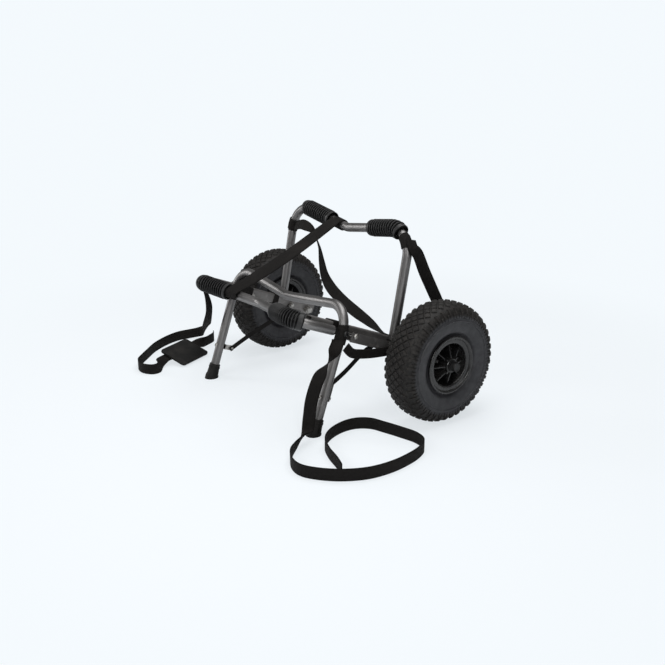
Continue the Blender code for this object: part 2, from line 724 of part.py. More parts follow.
for side, sign in SIDES.items():
    out = ACROSS * sign
    hub = AXLE + out * HALF_TRACK
    inner_line = shrink(tyre_outline, TYRE_WALL)[::2]
    inner_line[0] = (tyre_outline[0][0] - TYRE_WALL, tyre_outline[0][1])
    mirrored = [(-x, r) for x, r in reversed(tyre_outline[:-1])]
    inner_mirrored = [(-x, r) for x, r in reversed(inner_line[:-1])]
    whole = tyre_outline + mirrored + list(reversed(inner_mirrored)) + list(reversed(inner_line))
    tread(turned(f"tyre_{side}", whole, TYRE_RUBBER, hub, out, steps=WHEEL_STEPS), hub, out)

    half_profile = [
        (0.0, TYRE_SEAT), (0.030, TYRE_SEAT), (0.0338, 0.0575), (RIM_HALF - 0.0015, RIM_LIP_R),
        (RIM_HALF - 0.0006, RIM_LIP_R - RIM_WALL),
        (RIM_HALF - 0.0060, RIM_OPEN_R), (0.0060, RIM_OPEN_R - 0.001),
        (0.0020, RIM_OPEN_R - 0.004), (0.0020, HUB_R + 0.002), (HUB_HALF, HUB_R - 0.001),
        (HUB_HALF, HUB_BORE_R),
    ]
    whole = half_profile + [(-x, r) for x, r in reversed(half_profile[1:])]
    rim = turned(f"rim_{side}", whole, RIM_PLASTIC, hub, out, steps=RIM_STEPS)
    ribs = bmesh.new()
    for i in range(RIM_RIBS):
        place = Matrix.Translation(hub) @ Matrix.Rotation(math.tau * i / RIM_RIBS, 4, out)
        box(ribs, (-0.027, -0.0014, HUB_R - 0.002), (0.027, 0.0014, RIM_OPEN_R + 0.001), place)
    cut(rim, cutter(f"rim_ribs_{side}", ribs), "UNION")

    # The valve leans out through the rim, midway between two ribs.
    spoke = Matrix.Rotation(math.tau * 1.5 / RIM_RIBS, 3, out) @ Vector((0, 0, 1))
    lean = (out * 0.8 - spoke * 0.6).normalized()
    root = hub + out * 0.010 + spoke * (RIM_OPEN_R + 0.004)
    hole = bmesh.new()
    rod(hole, root - lean * 0.014, root + lean * 0.020, VALVE_R + GAP, 10)
    cut(rim, cutter(f"valve_hole_{side}", hole))
    turned(
        f"valve_{side}",
        [(-0.008, 0.0), (-0.008, VALVE_R), (0.014, VALVE_R), (0.014, VALVE_R + 0.001), (0.024, VALVE_R + 0.001),
         (0.025, VALVE_R), (0.025, 0.0)],
        BLACK_PLASTIC, root, lean, lean.orthogonal().normalized(), 12
    )

    # One flanged sleeve through the hub runs on the stub axle.
    sleeve_in = -HUB_HALF
    flange = HUB_HALF + GAP
    turned(
        f"wheel_bush_{side}",
        [(sleeve_in, AXLE_R + 0.0004), (sleeve_in, HUB_BORE_R - GAP), (flange, HUB_BORE_R - GAP), (flange, 0.0125),
         (flange + BUSH_FLANGE, 0.0125), (flange + BUSH_FLANGE, AXLE_R + 0.0004)],
        BLACK_PLASTIC, hub, out
    )

    tip = CAP_FACE + 0.0075
    nut_seat = RAIL_INNER - GAP
    nut_back = nut_seat - AXLE_NUT_THICK
    collar_in = BRACKET_OUTER + GAP
    collar_out = HALF_TRACK - HUB_HALF - 2 * GAP
    axle = [
        (nut_back - 0.0015, 0.0), (nut_back - 0.0015, AXLE_R), (nut_back, AXLE_R), (nut_back, AXLE_NUT_R),
        (nut_seat, AXLE_NUT_R), (nut_seat, AXLE_R), (collar_in, AXLE_R), (collar_in, AXLE_COLLAR_R),
        (collar_out, AXLE_COLLAR_R), (collar_out, AXLE_R), (tip, AXLE_R), (tip, 0.0),
    ]
    turned(f"axle_{side}", axle, STEEL, AXLE, out, steps=12, hexagon=(nut_back, nut_seat))
    cap = [
        (CAP_FACE, AXLE_R + GAP), (CAP_FACE, 0.0105), (CAP_FACE + 0.004, 0.0105), (CAP_FACE + 0.008, 0.0088),
        (CAP_FACE + CAP_LENGTH, 0.0050), (CAP_FACE + CAP_LENGTH, 0.0), (tip + GAP, 0.0), (tip + GAP, AXLE_R + GAP),
    ]
    turned(f"axle_cap_{side}", cap, BLACK_PLASTIC, AXLE, out)


# Webbing. A ribbon follows a smooth curve through stops of (place, direction of its width). Stops given
# as numbers are measured from the ground under the wheels' axis.

def smooth(stops, per_span):
    """Points and width directions on a curve through the stops."""
    places = [p if isinstance(p, Vector) else UNDER_AXLE + Vector(p) for p, _ in stops]
    widths = [Vector(w).normalized() for _, w in stops]

    def between(values, i, t):
        a = values[max(i - 1, 0)]
        b = values[i]
        c = values[i + 1]
        d = values[min(i + 2, len(values) - 1)]
        return 0.5 * (2 * b + (c - a) * t + (2 * a - 5 * b + 4 * c - d) * t * t + (3 * b - a - 3 * c + d) * t ** 3)

    line = []
    for i in range(len(places) - 1):
        for k in range(per_span):
            line.append((between(places, i, k / per_span), between(widths, i, k / per_span)))
    line.append((places[-1], widths[-1]))
    return line


def ribbon(name, stops, width, per_span=3, thick=WEB_THICK, material=WEBBING):
    """A flat strap of even width and thickness along the stops."""
    line = smooth(stops, per_span)
    bm = bmesh.new()
    rings = []
    for i, (point, across) in enumerate(line):
        going = (line[min(i + 1, len(line) - 1)][0] - line[max(i - 1, 0)][0]).normalized()
        face = going.cross(across).normalized()
        across = face.cross(going).normalized()
        corners = ((-1, -1), (1, -1), (1, 1), (-1, 1))
        rings.append([
            bm.verts.new(point + across * a * width / 2 + face * b * thick / 2) for a, b in corners
        ])
    for low, high in zip(rings, rings[1:]):
        for k in range(4):
            j = (k + 1) % 4
            bm.faces.new((low[k], low[j], high[j], high[k]))
    bm.faces.new(rings[0])
    bm.faces.new(rings[-1])
    return make(name, bm, material)


UPRIGHT = (0, 0, 1)
LEVEL = (0.61, 0.79, 0)
EDGE_Z = TIE_WIDTH / 2 + 0.0008

# The tie strap at the right leg comes off its turns, hangs down and lies on its edge in a loop.
ribbon("tie_strap_right", [
    ((0.2115, -0.2015, 0.1900), (0, 0.34, 0.94)), ((0.2190, -0.2085, 0.1905), (0.2, 0.45, 0.87)),
    ((0.2245, -0.2190, 0.1790), (0.5, 0.75, 0.3)), ((0.2260, -0.2330, 0.158), (0.6, 0.79, 0.1)),
    ((0.2260, -0.2590, 0.126), LEVEL), ((0.2260, -0.2750, 0.088), LEVEL), ((0.2260, -0.2820, 0.048), LEVEL),
    ((0.2290, -0.2890, 0.026), (0.6, 0.7, 0.4)), ((0.2420, -0.3160, 0.0170), (0.3, 0.2, 0.9)),
    ((0.2700, -0.3560, EDGE_Z), UPRIGHT), ((0.3050, -0.3790, EDGE_Z), UPRIGHT), ((0.3400, -0.3830, EDGE_Z), UPRIGHT),
    ((0.3740, -0.3640, EDGE_Z), UPRIGHT), ((0.4040, -0.3320, EDGE_Z), UPRIGHT), ((0.4250, -0.2900, EDGE_Z), UPRIGHT),
    ((0.4310, -0.2400, EDGE_Z), UPRIGHT), ((0.4250, -0.1900, EDGE_Z), UPRIGHT), ((0.4130, -0.1520, EDGE_Z), UPRIGHT),
    ((0.3950, -0.1280, EDGE_Z), UPRIGHT), ((0.3640, -0.1200, EDGE_Z), UPRIGHT), ((0.3260, -0.1270, EDGE_Z), UPRIGHT),
    ((0.2880, -0.1370, EDGE_Z), UPRIGHT), ((0.2560, -0.1480, EDGE_Z), UPRIGHT), ((0.2370, -0.1730, EDGE_Z), UPRIGHT),
    ((0.2350, -0.2070, EDGE_Z), UPRIGHT), ((0.2480, -0.2460, EDGE_Z), UPRIGHT), ((0.2740, -0.2780, EDGE_Z), UPRIGHT),
    ((0.3130, -0.2980, EDGE_Z), UPRIGHT), ((0.3550, -0.3110, EDGE_Z), UPRIGHT), ((0.3850, -0.3230, EDGE_Z), UPRIGHT),
], TIE_WIDTH, 2)

# The tie strap at the left front corner falls to the ground, curls round and threads its buckle.
PAD_ACROSS = (-0.854, -0.391, 0.342)
ribbon("tie_strap_left", [
    ((-0.2052, -0.2697, 0.2259), (-0.84, 0.47, 0.0)), ((-0.2090, -0.2580, 0.2000), (-0.84, 0.47, 0.1)),
    ((-0.2240, -0.2450, 0.1640), (-0.8, 0.5, 0.3)), ((-0.2620, -0.2300, 0.1220), (-0.6, 0.6, 0.5)),
    ((-0.3300, -0.1960, 0.0850), (-0.5, 0.5, 0.7)), ((-0.4150, -0.1500, 0.0480), (-0.3, 0.3, 0.9)),
    ((-0.4750, -0.1340, 0.0210), UPRIGHT), ((-0.4960, -0.1560, EDGE_Z), UPRIGHT), ((-0.4970, -0.1900, EDGE_Z), UPRIGHT),
    ((-0.4820, -0.2330, EDGE_Z), UPRIGHT), ((-0.4530, -0.2800, EDGE_Z), UPRIGHT), ((-0.4180, -0.3180, EDGE_Z), UPRIGHT),
    ((-0.3920, -0.3450, EDGE_Z), UPRIGHT), ((-0.3650, -0.3690, EDGE_Z), UPRIGHT), ((-0.3320, -0.3750, EDGE_Z), UPRIGHT),
    ((-0.3080, -0.3610, EDGE_Z), UPRIGHT), ((-0.3100, -0.3410, EDGE_Z), (-0.2, -0.1, 0.95)),
    ((-0.3300, -0.3280, 0.0170), (-0.6, -0.35, 0.7)), ((-0.3460, -0.3082, 0.0180), PAD_ACROSS),
    ((-0.3540, -0.2907, 0.01825), PAD_ACROSS), ((-0.3801, -0.2336, 0.01825), PAD_ACROSS),
    ((-0.3959, -0.1991, 0.0180), PAD_ACROSS), ((-0.4040, -0.1790, 0.0165), (-0.6, -0.35, 0.7)),
    ((-0.4130, -0.1560, EDGE_Z), UPRIGHT), ((-0.4240, -0.1340, EDGE_Z), UPRIGHT), ((-0.4340, -0.1190, EDGE_Z), UPRIGHT),
    ((-0.4470, -0.1110, EDGE_Z), UPRIGHT),
], TIE_WIDTH, 2)

PAD_MIDDLE = UNDER_AXLE + Vector((-0.358, -0.2455, 0.019))
pad_along = Vector((-0.416, 0.909, 0)).normalized()
pad_across = Vector(PAD_ACROSS).normalized()
pad_out = pad_along.cross(pad_across)
pad_place = Matrix.Translation(PAD_MIDDLE) @ Matrix((pad_along, pad_across, pad_out)).transposed().to_4x4()
bm = bmesh.new()
half = [v / 2 for v in BUCKLE_PAD]
box(bm, [-v for v in half], half, pad_place)
bmesh.ops.bevel(bm, geom=bm.edges[:], offset=0.002, segments=2, profile=0.5, affect="EDGES", material=-1)
make("buckle_pad", bm, PAD_RUBBER)

# The cam buckle under the pad: a cheeked body, and a sprung lever that pinches the strap in it
BUCKLE_LENGTH = 0.040
BUCKLE_WIDTH = 0.036
BUCKLE_HEIGHT = 0.010
BUCKLE_PLATE = 0.0012
BUCKLE_CHEEK = 0.002
BUCKLE_SHIFT = 0.014
CAM_R = 0.0026
CAM_DEPTH = 0.0066
TRUNNION_R = 0.0013
LEVER_LENGTH = 0.022
LEVER_ANGLE = math.radians(22)
buckle_place = pad_place @ Matrix.Translation((0, BUCKLE_SHIFT, -half[2] - GAP))
wide = BUCKLE_WIDTH / 2
inside = wide - BUCKLE_CHEEK
channel = [
    (-wide, 0), (-wide, -BUCKLE_HEIGHT), (-inside, -BUCKLE_HEIGHT), (-inside, -BUCKLE_PLATE), (inside, -BUCKLE_PLATE),
    (inside, -BUCKLE_HEIGHT), (wide, -BUCKLE_HEIGHT), (wide, 0),
]
lengthways = Matrix(((0, 0, 1), (1, 0, 0), (0, 1, 0))).to_4x4()
buckle_body = drawn(
    "buckle_body", channel, BUCKLE_LENGTH,
    buckle_place @ Matrix.Translation((-BUCKLE_LENGTH / 2, 0, 0)) @ lengthways, STEEL
)
CAM_MIDDLE = buckle_place @ Vector((0, 0, -CAM_DEPTH))
holes = bmesh.new()
rod(holes, CAM_MIDDLE - pad_across * 0.03, CAM_MIDDLE + pad_across * 0.03, TRUNNION_R + GAP, 10)
cut(buckle_body, cutter("trunnion_holes", holes))
reach = inside - GAP
turned(
    "buckle_lever",
    [(-wide, 0.0), (-wide, TRUNNION_R), (-reach, TRUNNION_R), (-reach, CAM_R), (reach, CAM_R), (reach, TRUNNION_R),
     (wide, TRUNNION_R), (wide, 0.0)],
    STEEL, CAM_MIDDLE, pad_across, pad_out, 12
)
arm = bmesh.new()
lever_place = buckle_place @ Matrix.Translation((0, 0, -CAM_DEPTH)) @ Matrix.Rotation(LEVER_ANGLE, 4, "Y")
box(arm, (0.001, -0.010, -0.001), (LEVER_LENGTH, 0.010, 0.001), lever_place)
cut(bpy.data.objects["buckle_lever"], cutter("buckle_lever_arm", arm), "UNION")

# The tie strap at the right arm starts in turns round it and hangs behind the wheel.
rear_tie = ribbon("tie_strap_rear", [
    ((0.1948, -0.0036, 0.3838), (0, 0.98, -0.19)), ((0.2073, -0.0061, 0.3705), (0, 0.98, -0.19)),
    ((0.2180, -0.0072, 0.3551), (0.05, 1, 0.1)), ((0.2210, 0.0020, 0.3430), (0.1, 0.9, 0.3)),
    ((0.2190, 0.0110, 0.3300), (0.2, 0.8, 0.45)), ((0.2160, 0.0290, 0.2980), (0.31, 0.63, 0.42)),
    ((0.2140, 0.0520, 0.2600), (0.31, 0.63, 0.4)), ((0.2140, 0.0740, 0.2200), (0.31, 0.7, 0.3)),
    ((0.2150, 0.0900, 0.1750), (0.31, 0.9, 0.2)), ((0.2150, 0.0970, 0.1300), (0.31, 0.95, 0)),
    ((0.2150, 0.1000, 0.0850), (0.31, 0.95, 0)),
], TIE_WIDTH, 2)
bm = bmesh.new()
hollow_sweep(bm, stretch(rear_path, *REAR_WRAP_RIGHT), rear_across, WRAP_R, TUBE_R + GAP)
cut(rear_tie, cutter("rear_tie_turns", bm), "UNION")

# The sling from the left arm sags behind the kickstand and ends over the right rail.
ribbon("sling_strap", [
    ((-0.1846, -0.0238, 0.3284), (0, -0.19, -0.97)), ((-0.1720, -0.0270, 0.3440), (0.1, -0.5, -0.8)),
    ((-0.1350, -0.0360, 0.3560), (0.3, -0.9, -0.3)), ((-0.1050, -0.0380, 0.3490), (0.6, -0.8, 0)),
    ((-0.0810, -0.0380, 0.3320), (0.8, -0.6, 0.2)), ((-0.0650, -0.0380, 0.3080), (0.9, -0.4, 0.1)),
    ((-0.0570, -0.0380, 0.2780), (1, -0.1, 0.1)), ((-0.0460, -0.0380, 0.2480), (0.9, 0.2, 0.4)),
    ((-0.0220, -0.0380, 0.2240), (0.6, 0.6, 0.55)), ((0.0200, -0.0400, 0.2060), (0.35, 0.8, 0.5)),
    ((0.0700, -0.0430, 0.1920), (0.2, 0.9, 0.2)), ((0.1250, -0.0480, 0.1800), -ALONG), ((0.1640, -0.0505, 0.1704), -ALONG),
    ((0.1860, -0.0505, 0.1690), -ALONG),
], TIE_WIDTH, 2)

# The strap under the right bracket
ribbon("rail_strap_right", [
    ((0.2229, -0.1870, 0.1790), (0, -0.5, 0.8)), ((0.2229, -0.172, 0.1630), (0, -0.2, 1)),
    ((0.2229, -0.150, 0.1560), (0, 0, 1)), ((0.2229, -0.120, 0.1505), (0, 0, 1)),
    ((0.2229, -0.092, 0.1475), (0, 0, 1)), ((0.2229, -0.067, 0.1455), (0, 0, 1)),
], RAIL_STRAP_WIDTH, 2)

# The board strap goes over the front bar and runs back, with a slight sag, to its loop on the rear bar.
ribbon("board_strap", [
    ((-0.0667, -0.2759, 0.2311), (0.955, 0.275, -0.111)), ((-0.0665, -0.2772, 0.2414), (0.955, 0.275, -0.111)),
    ((-0.0660, -0.2703, 0.2483), (0.955, 0.275, -0.111)), ((-0.0618, -0.2343, 0.2625), (0.94, 0.1, -0.25)),
    ((-0.0540, -0.1773, 0.2888), (0.93, 0.0, -0.36)), ((-0.0450, -0.1154, 0.3210), (0.93, 0.0, -0.36)),
    ((-0.0359, -0.0535, 0.3568), (0.95, 0.0, -0.28)), ((-0.0300, -0.0163, 0.3786), (0.98, 0.0, -0.15)),
], BOARD_WIDTH, 2)

# Limit straps, each riveted to its tab and held by the rear pivot bolt
for side, sign in SIDES.items():
    out = ACROSS * sign
    rivet_spot = tab_centre + BEHIND * (TAB_REACH[side] - 0.006) + KICK_UP * (TAB_ABOVE[side] - 0.006)
    start = rivet_spot + out * (TAB_INNER - 2 * GAP - LIMIT_THICK / 2)
    end = REAR_CENTRE + out * STRAP_X
    line = (end - start).normalized()
    lower_end = start - line * 0.006
    lower_end.x = start.x
    beside_tab = start + line * 0.004
    beside_tab.x = start.x
    upper_end = end + line * 0.006
    upper_end.x = end.x
    width = line.cross(ACROSS).normalized()
    inside_rail = [start.lerp(end, share) for share in (0.70, 0.85)]
    for spot in inside_rail:
        spot.x = end.x
    strap = ribbon(f"limit_strap_{side}", [
        (lower_end, width), (beside_tab, width), (start.lerp(end, 0.30), width),
        *((spot, width) for spot in inside_rail), (upper_end, width),
    ], LIMIT_WIDTH, 2, LIMIT_THICK)
    holes = bmesh.new()
    rod(holes, REAR_CENTRE + out * (STRAP_X - 0.009), REAR_CENTRE + out * (STRAP_X + 0.006), BOLT_HOLE_R, 10)
    rod(holes, rivet_spot + out * (TAB_INNER - 0.012), rivet_spot + out * (TAB_INNER + 0.008), 0.0018, 10)
    cut(strap, cutter(f"strap_holes_{side}", holes))
    head = TAB_INNER - 4 * GAP - LIMIT_THICK
    stud = bmesh.new()
    turn_about(
        stud,
        [(TAB_INNER + TAB_THICK / 2, 0.0), (TAB_INNER + TAB_THICK / 2, 0.0014), (head, 0.0014), (head, 0.0032),
         (head - 0.0012, 0.0024), (head - 0.0012, 0.0)],
        rivet_spot, out, Vector((0, 0, 1)), 12
    )
    cut(tabs[side], cutter(f"tab_stud_{side}", stud), "UNION")

# Each moving piece turns about its own origin, so the origin goes onto the axis of its joint.
TURNS_ABOUT = {
    "rear_frame": REAR_CENTRE, "rear_eye_left": REAR_CENTRE, "rear_eye_right": REAR_CENTRE, "kickstand": KICK_CENTRE,
    "rear_pad_left": REAR_CENTRE, "rear_pad_right": REAR_CENTRE, "buckle_lever": CAM_MIDDLE,
}
for side, sign in SIDES.items():
    hub = AXLE + ACROSS * sign * HALF_TRACK
    TURNS_ABOUT.update({f"{piece}_{side}": hub for piece in ("tyre", "rim", "wheel_bush", "valve")})
    TURNS_ABOUT.update({f"{piece}_{side}": KICK_CENTRE for piece in ("foot", "leg_wrap", "strap_tab", "tab_bolt")})
TURNS_ABOUT.update({piece: REAR_CENTRE for piece in ("arm_wrap_left", "board_strap_loop", "tie_strap_rear")})
for name, centre in TURNS_ABOUT.items():
    piece = bpy.data.objects[name]
    piece.data.transform(Matrix.Translation(-centre))
    piece.location = centre
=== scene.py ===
"""A two-wheeled cart for a paddleboard, dressed over its mechanical frame.

Metres, +Z up, +X to the cart's right wheel, -Y to the kickstand. The origin is on the ground in the
middle of the cart's footprint, which puts the wheels' axis a little behind it.
"""
import math

import bmesh
import bpy
from mathutils import Matrix, Vector


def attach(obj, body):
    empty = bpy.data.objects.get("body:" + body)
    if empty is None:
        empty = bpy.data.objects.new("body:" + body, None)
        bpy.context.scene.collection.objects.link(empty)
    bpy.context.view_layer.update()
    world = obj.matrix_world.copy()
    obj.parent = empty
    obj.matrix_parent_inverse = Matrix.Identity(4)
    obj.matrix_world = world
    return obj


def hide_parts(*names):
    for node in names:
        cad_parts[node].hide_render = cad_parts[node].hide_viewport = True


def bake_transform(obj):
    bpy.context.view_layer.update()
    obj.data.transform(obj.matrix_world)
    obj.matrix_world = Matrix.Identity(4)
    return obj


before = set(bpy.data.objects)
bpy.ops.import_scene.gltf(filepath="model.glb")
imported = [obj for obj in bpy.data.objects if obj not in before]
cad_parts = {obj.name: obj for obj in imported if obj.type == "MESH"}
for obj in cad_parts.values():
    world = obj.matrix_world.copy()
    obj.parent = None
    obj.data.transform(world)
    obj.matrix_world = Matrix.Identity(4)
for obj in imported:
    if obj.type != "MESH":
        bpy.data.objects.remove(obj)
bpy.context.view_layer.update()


# A pale floor that runs up into a backdrop of the same colour, so that no horizon shows. Part of its
# light is its own, and the rest is plain matt paint, which keeps the cart's soft shadow.
class Value:
    """A shader socket that takes part in Python arithmetic."""

    def __init__(self, finish, socket):
        self.finish = finish
        self.socket = socket

    def math(self, operation, *others, clamp=False):
        return self.finish.node(
            "ShaderNodeMath", dict(enumerate((self, *others))), operation=operation, use_clamp=clamp
        )

    def __add__(self, other):
        return self.math("ADD", other)

    __radd__ = __add__

    def __mul__(self, other):
        return self.math("MULTIPLY", other)

    __rmul__ = __mul__

    def __sub__(self, other):
        return self.math("SUBTRACT", other)

    def __rsub__(self, other):
        return self * -1 + other

    def __truediv__(self, other):
        return self.math("DIVIDE", other)

    def limited(self, low, high):
        """Stretch low to 0 and high to 1, and clamp."""
        return self.finish.node("ShaderNodeMapRange", {0: self, 1: low, 2: high}, interpolation_type="SMOOTHSTEP")


class Finish:
    """A material with one Principled shader, and the nodes that vary it over a surface."""

    def __init__(self, name, colour, roughness, metallic=0.0, **plain):
        self.material = bpy.data.materials.new(name)
        self.material.use_nodes = True
        self.tree = self.material.node_tree
        self.shader = self.tree.nodes["Principled BSDF"]
        self.material.diffuse_color = (*colour, 1)
        sockets = {"Base Color": (*colour, 1), "Roughness": roughness, "Metallic": metallic}
        sockets.update({key.replace("_", " "): value for key, value in plain.items()})
        self.set(**{key.replace(" ", "_"): value for key, value in sockets.items()})

    def set(self, **sockets):
        for key, value in sockets.items():
            self.feed(self.shader.inputs[key.replace("_", " ")], value)

    def feed(self, socket, value):
        if isinstance(value, Value):
            self.tree.links.new(value.socket, socket)
        elif hasattr(socket.default_value, "__len__") and len(socket.default_value) == 4 and len(value) == 3:
            socket.default_value = (*value, 1)
        else:
            socket.default_value = value

    def node(self, kind, sockets=None, output=0, **settings):
        made = self.tree.nodes.new(kind)
        for key, value in settings.items():
            setattr(made, key, value)
        for key, value in (sockets or {}).items():
            self.feed(made.inputs[key], value)
        return Value(self, made.outputs[output])

    def place(self, scale=(1, 1, 1), turn=(0, 0, 0)):
        """The point on the surface, in the cart's own axes, stretched and turned for a pattern."""
        spot = self.node("ShaderNodeTexCoord", output="Object")
        if scale == (1, 1, 1) and turn == (0, 0, 0):
            return spot
        return self.node("ShaderNodeMapping", {"Vector": spot, "Rotation": turn, "Scale": scale})

    def noise(self, scale, detail=2.0, roughness=0.5, where=None):
        where = where or self.place()
        return self.node(
            "ShaderNodeTexNoise",
            {"Vector": where, "Scale": scale, "Detail": detail, "Roughness": roughness},
        )

    def mix(self, factor, first, second):
        return self.node("ShaderNodeMix", {0: factor, 6: first, 7: second}, output=2, data_type="RGBA")

    def bump(self, height, distance, strength=1.0):
        self.set(Normal=self.node("ShaderNodeBump", {"Strength": strength, "Distance": distance, "Height": height}))


BACKDROP = (0.905, 0.951, 0.985)
FLOOR_PAINT = (0.90, 0.93, 0.96)
FLOOR_RADIUS = 9.0
SHADOW_FADE = (0.55, 1.3)
world = bpy.data.worlds.new("studio")
bpy.context.scene.world = world
world.use_nodes = True
tree = world.node_tree
tree.nodes.clear()
seen = tree.nodes.new("ShaderNodeBackground")
seen.inputs["Color"].default_value = (*BACKDROP, 1)
seen.inputs["Strength"].default_value = 1.0
lit = tree.nodes.new("ShaderNodeBackground")
lit.inputs["Color"].default_value = (1, 1, 1, 1)
lit.inputs["Strength"].default_value = 0.22
ray = tree.nodes.new("ShaderNodeLightPath")
either = tree.nodes.new("ShaderNodeMixShader")
tree.links.new(ray.outputs["Is Camera Ray"], either.inputs[0])
tree.links.new(lit.outputs[0], either.inputs[1])
tree.links.new(seen.outputs[0], either.inputs[2])
tree.links.new(either.outputs[0], tree.nodes.new("ShaderNodeOutputWorld").inputs[0])

floor_finish = Finish("pale_floor", FLOOR_PAINT, 0.9, Specular_IOR_Level=0.0)
spot = floor_finish.place()
away = floor_finish.node("ShaderNodeVectorMath", {0: spot}, output="Value", operation="LENGTH")
glow = floor_finish.node("ShaderNodeEmission", {"Color": BACKDROP, "Strength": 1.0})
camera_ray = floor_finish.node("ShaderNodeLightPath", output="Is Camera Ray")
own_light = 0.70 + 0.30 * away.limited(*SHADOW_FADE)
blend = floor_finish.tree.nodes.new("ShaderNodeMixShader")
floor_finish.feed(blend.inputs[0], own_light * camera_ray)
floor_finish.tree.links.new(floor_finish.shader.outputs[0], blend.inputs[1])
floor_finish.tree.links.new(glow.socket, blend.inputs[2])
floor_finish.tree.links.new(blend.outputs[0], floor_finish.tree.nodes["Material Output"].inputs[0])
bm = bmesh.new()
bmesh.ops.create_circle(bm, cap_ends=True, radius=FLOOR_RADIUS, segments=64)
mesh = bpy.data.meshes.new("floor")
bm.to_mesh(mesh)
bm.free()
mesh.materials.append(floor_finish.material)
floor = bpy.data.objects.new("floor", mesh)
bpy.context.collection.objects.link(floor)


# Studio light: a broad soft lamp overhead, one from the viewer's left and a low fill from the right
def lamp(name, place, aim, size, watts):
    light = bpy.data.lights.new(name, "AREA")
    light.shape = "RECTANGLE"
    light.size, light.size_y = size
    light.energy = watts
    thing = bpy.data.objects.new(name, light)
    thing.location = place
    thing.rotation_euler = (Vector(aim) - Vector(place)).to_track_quat("-Z", "Y").to_euler()
    bpy.context.collection.objects.link(thing)


lamp("overhead", (0.2, 0.1, 2.0), (0, 0, 0), (2.2, 1.3), 30)
lamp("front", (0.5, -2.3, 1.5), (0, 0, 0.15), (1.3, 0.30), 12)
lamp("left_side", (-1.7, -1.2, 0.9), (0, 0, 0.15), (0.25, 1.5), 12)
lamp("right_side", (2.0, -1.1, 1.2), (0, 0, 0.15), (0.3, 1.4), 13)


# The photograph's viewpoint: turned 52.7 degrees round to the cart's right, 18.2 degrees above it
AZIMUTH = 0.92028
ELEVATION = 0.31747
ROLL = -0.00228
DISTANCE = 2.07865
AIM_ACROSS = -0.04046
AIM_HEIGHT = 0.11298
AXLE_BACK = 0.0895
UNDER_AXLE = Vector((0, AXLE_BACK, 0))
FOCAL_PIXELS = 889.73
FRAME_PIXELS = 665
backward = Vector((
    math.sin(AZIMUTH) * math.cos(ELEVATION), -math.cos(AZIMUTH) * math.cos(ELEVATION), math.sin(ELEVATION)
))
level = Vector((math.cos(AZIMUTH), math.sin(AZIMUTH), 0))
upward = backward.cross(level)
right = level * math.cos(ROLL) + upward * math.sin(ROLL)
upward = upward * math.cos(ROLL) - level * math.sin(ROLL)
aim = UNDER_AXLE + Vector((AIM_ACROSS * math.cos(AZIMUTH), AIM_ACROSS * math.sin(AZIMUTH), AIM_HEIGHT))
camera_data = bpy.data.cameras.new("camera")
camera_data.sensor_width = 36
camera_data.lens = FOCAL_PIXELS / FRAME_PIXELS * 36
camera_data.shift_y = 0.5 / FRAME_PIXELS
camera = bpy.data.objects.new("camera", camera_data)
camera.matrix_world = (
    Matrix.Translation(aim + backward * DISTANCE)
    @ Matrix((right, upward, backward)).transposed().to_4x4()
)
bpy.context.collection.objects.link(camera)
bpy.context.scene.camera = camera
bpy.context.scene.view_settings.view_transform = "Standard"


# Side rails: two rectangular aluminium extrusions that rise 22 degrees to the front, with drawn
# lines along them and open ends. The brackets that carry the wheels are bolted to their outer sides.
RAIL_RISE = math.radians(22)
SIDES = {"left": -1, "right": 1}
ACROSS = Vector((1, 0, 0))
ALONG = Vector((0, -math.cos(RAIL_RISE), math.sin(RAIL_RISE)))
SQUARE = Vector((0, math.sin(RAIL_RISE), math.cos(RAIL_RISE)))
AXLE = UNDER_AXLE + Vector((0, 0, 0.130))


def on_rail(along, lift=0.0, across=0.0):
    """A place by its distance from the axle along the rail, its height off it and its x."""
    return AXLE + ALONG * along + SQUARE * lift + ACROSS * across


def dress(finish, *nodes):
    """Give CAD pieces their real finish."""
    for name in nodes:
        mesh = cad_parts[name].data
        mesh.materials.clear()
        mesh.materials.append(finish.material)


def both(*stems):
    return [f"{stem}_{side}" for stem in stems for side in SIDES]


ALUMINIUM_GREY = (0.200, 0.192, 0.187)
aluminium = Finish("drawn_aluminium", ALUMINIUM_GREY, 0.40, 0.75)
along_rail = aluminium.place((220, 4, 220), (RAIL_RISE, 0, 0))
drawn_lines = aluminium.noise(1.0, 4, 0.6, along_rail)
cloud = aluminium.noise(14, 3, 0.55)
rubbed = aluminium.noise(60, 2, 0.5).limited(0.56, 0.72)
grey = aluminium.mix(cloud.limited(0.35, 0.7), [c * 0.80 for c in ALUMINIUM_GREY], [c * 1.12 for c in ALUMINIUM_GREY])
aluminium.set(
    Base_Color=aluminium.mix(rubbed * 0.35, grey, (0.42, 0.40, 0.38)),
    Roughness=0.36 + 0.16 * drawn_lines + 0.08 * cloud,
)
aluminium.bump(drawn_lines, 0.00006, 0.6)
dress(aluminium, *both("rail", "bracket"))


# U frames: mild grey tube, 20 mm across, bent at two corners, whose cross bars dip in a shallow V.
# The front one is bolted to the rails; the rear one and the kickstand are hinged on bolts.
TUBE_R = 0.010
FRAME_HALF = 0.206
FRAME_SIDES = 32
BEND_STEPS = 16


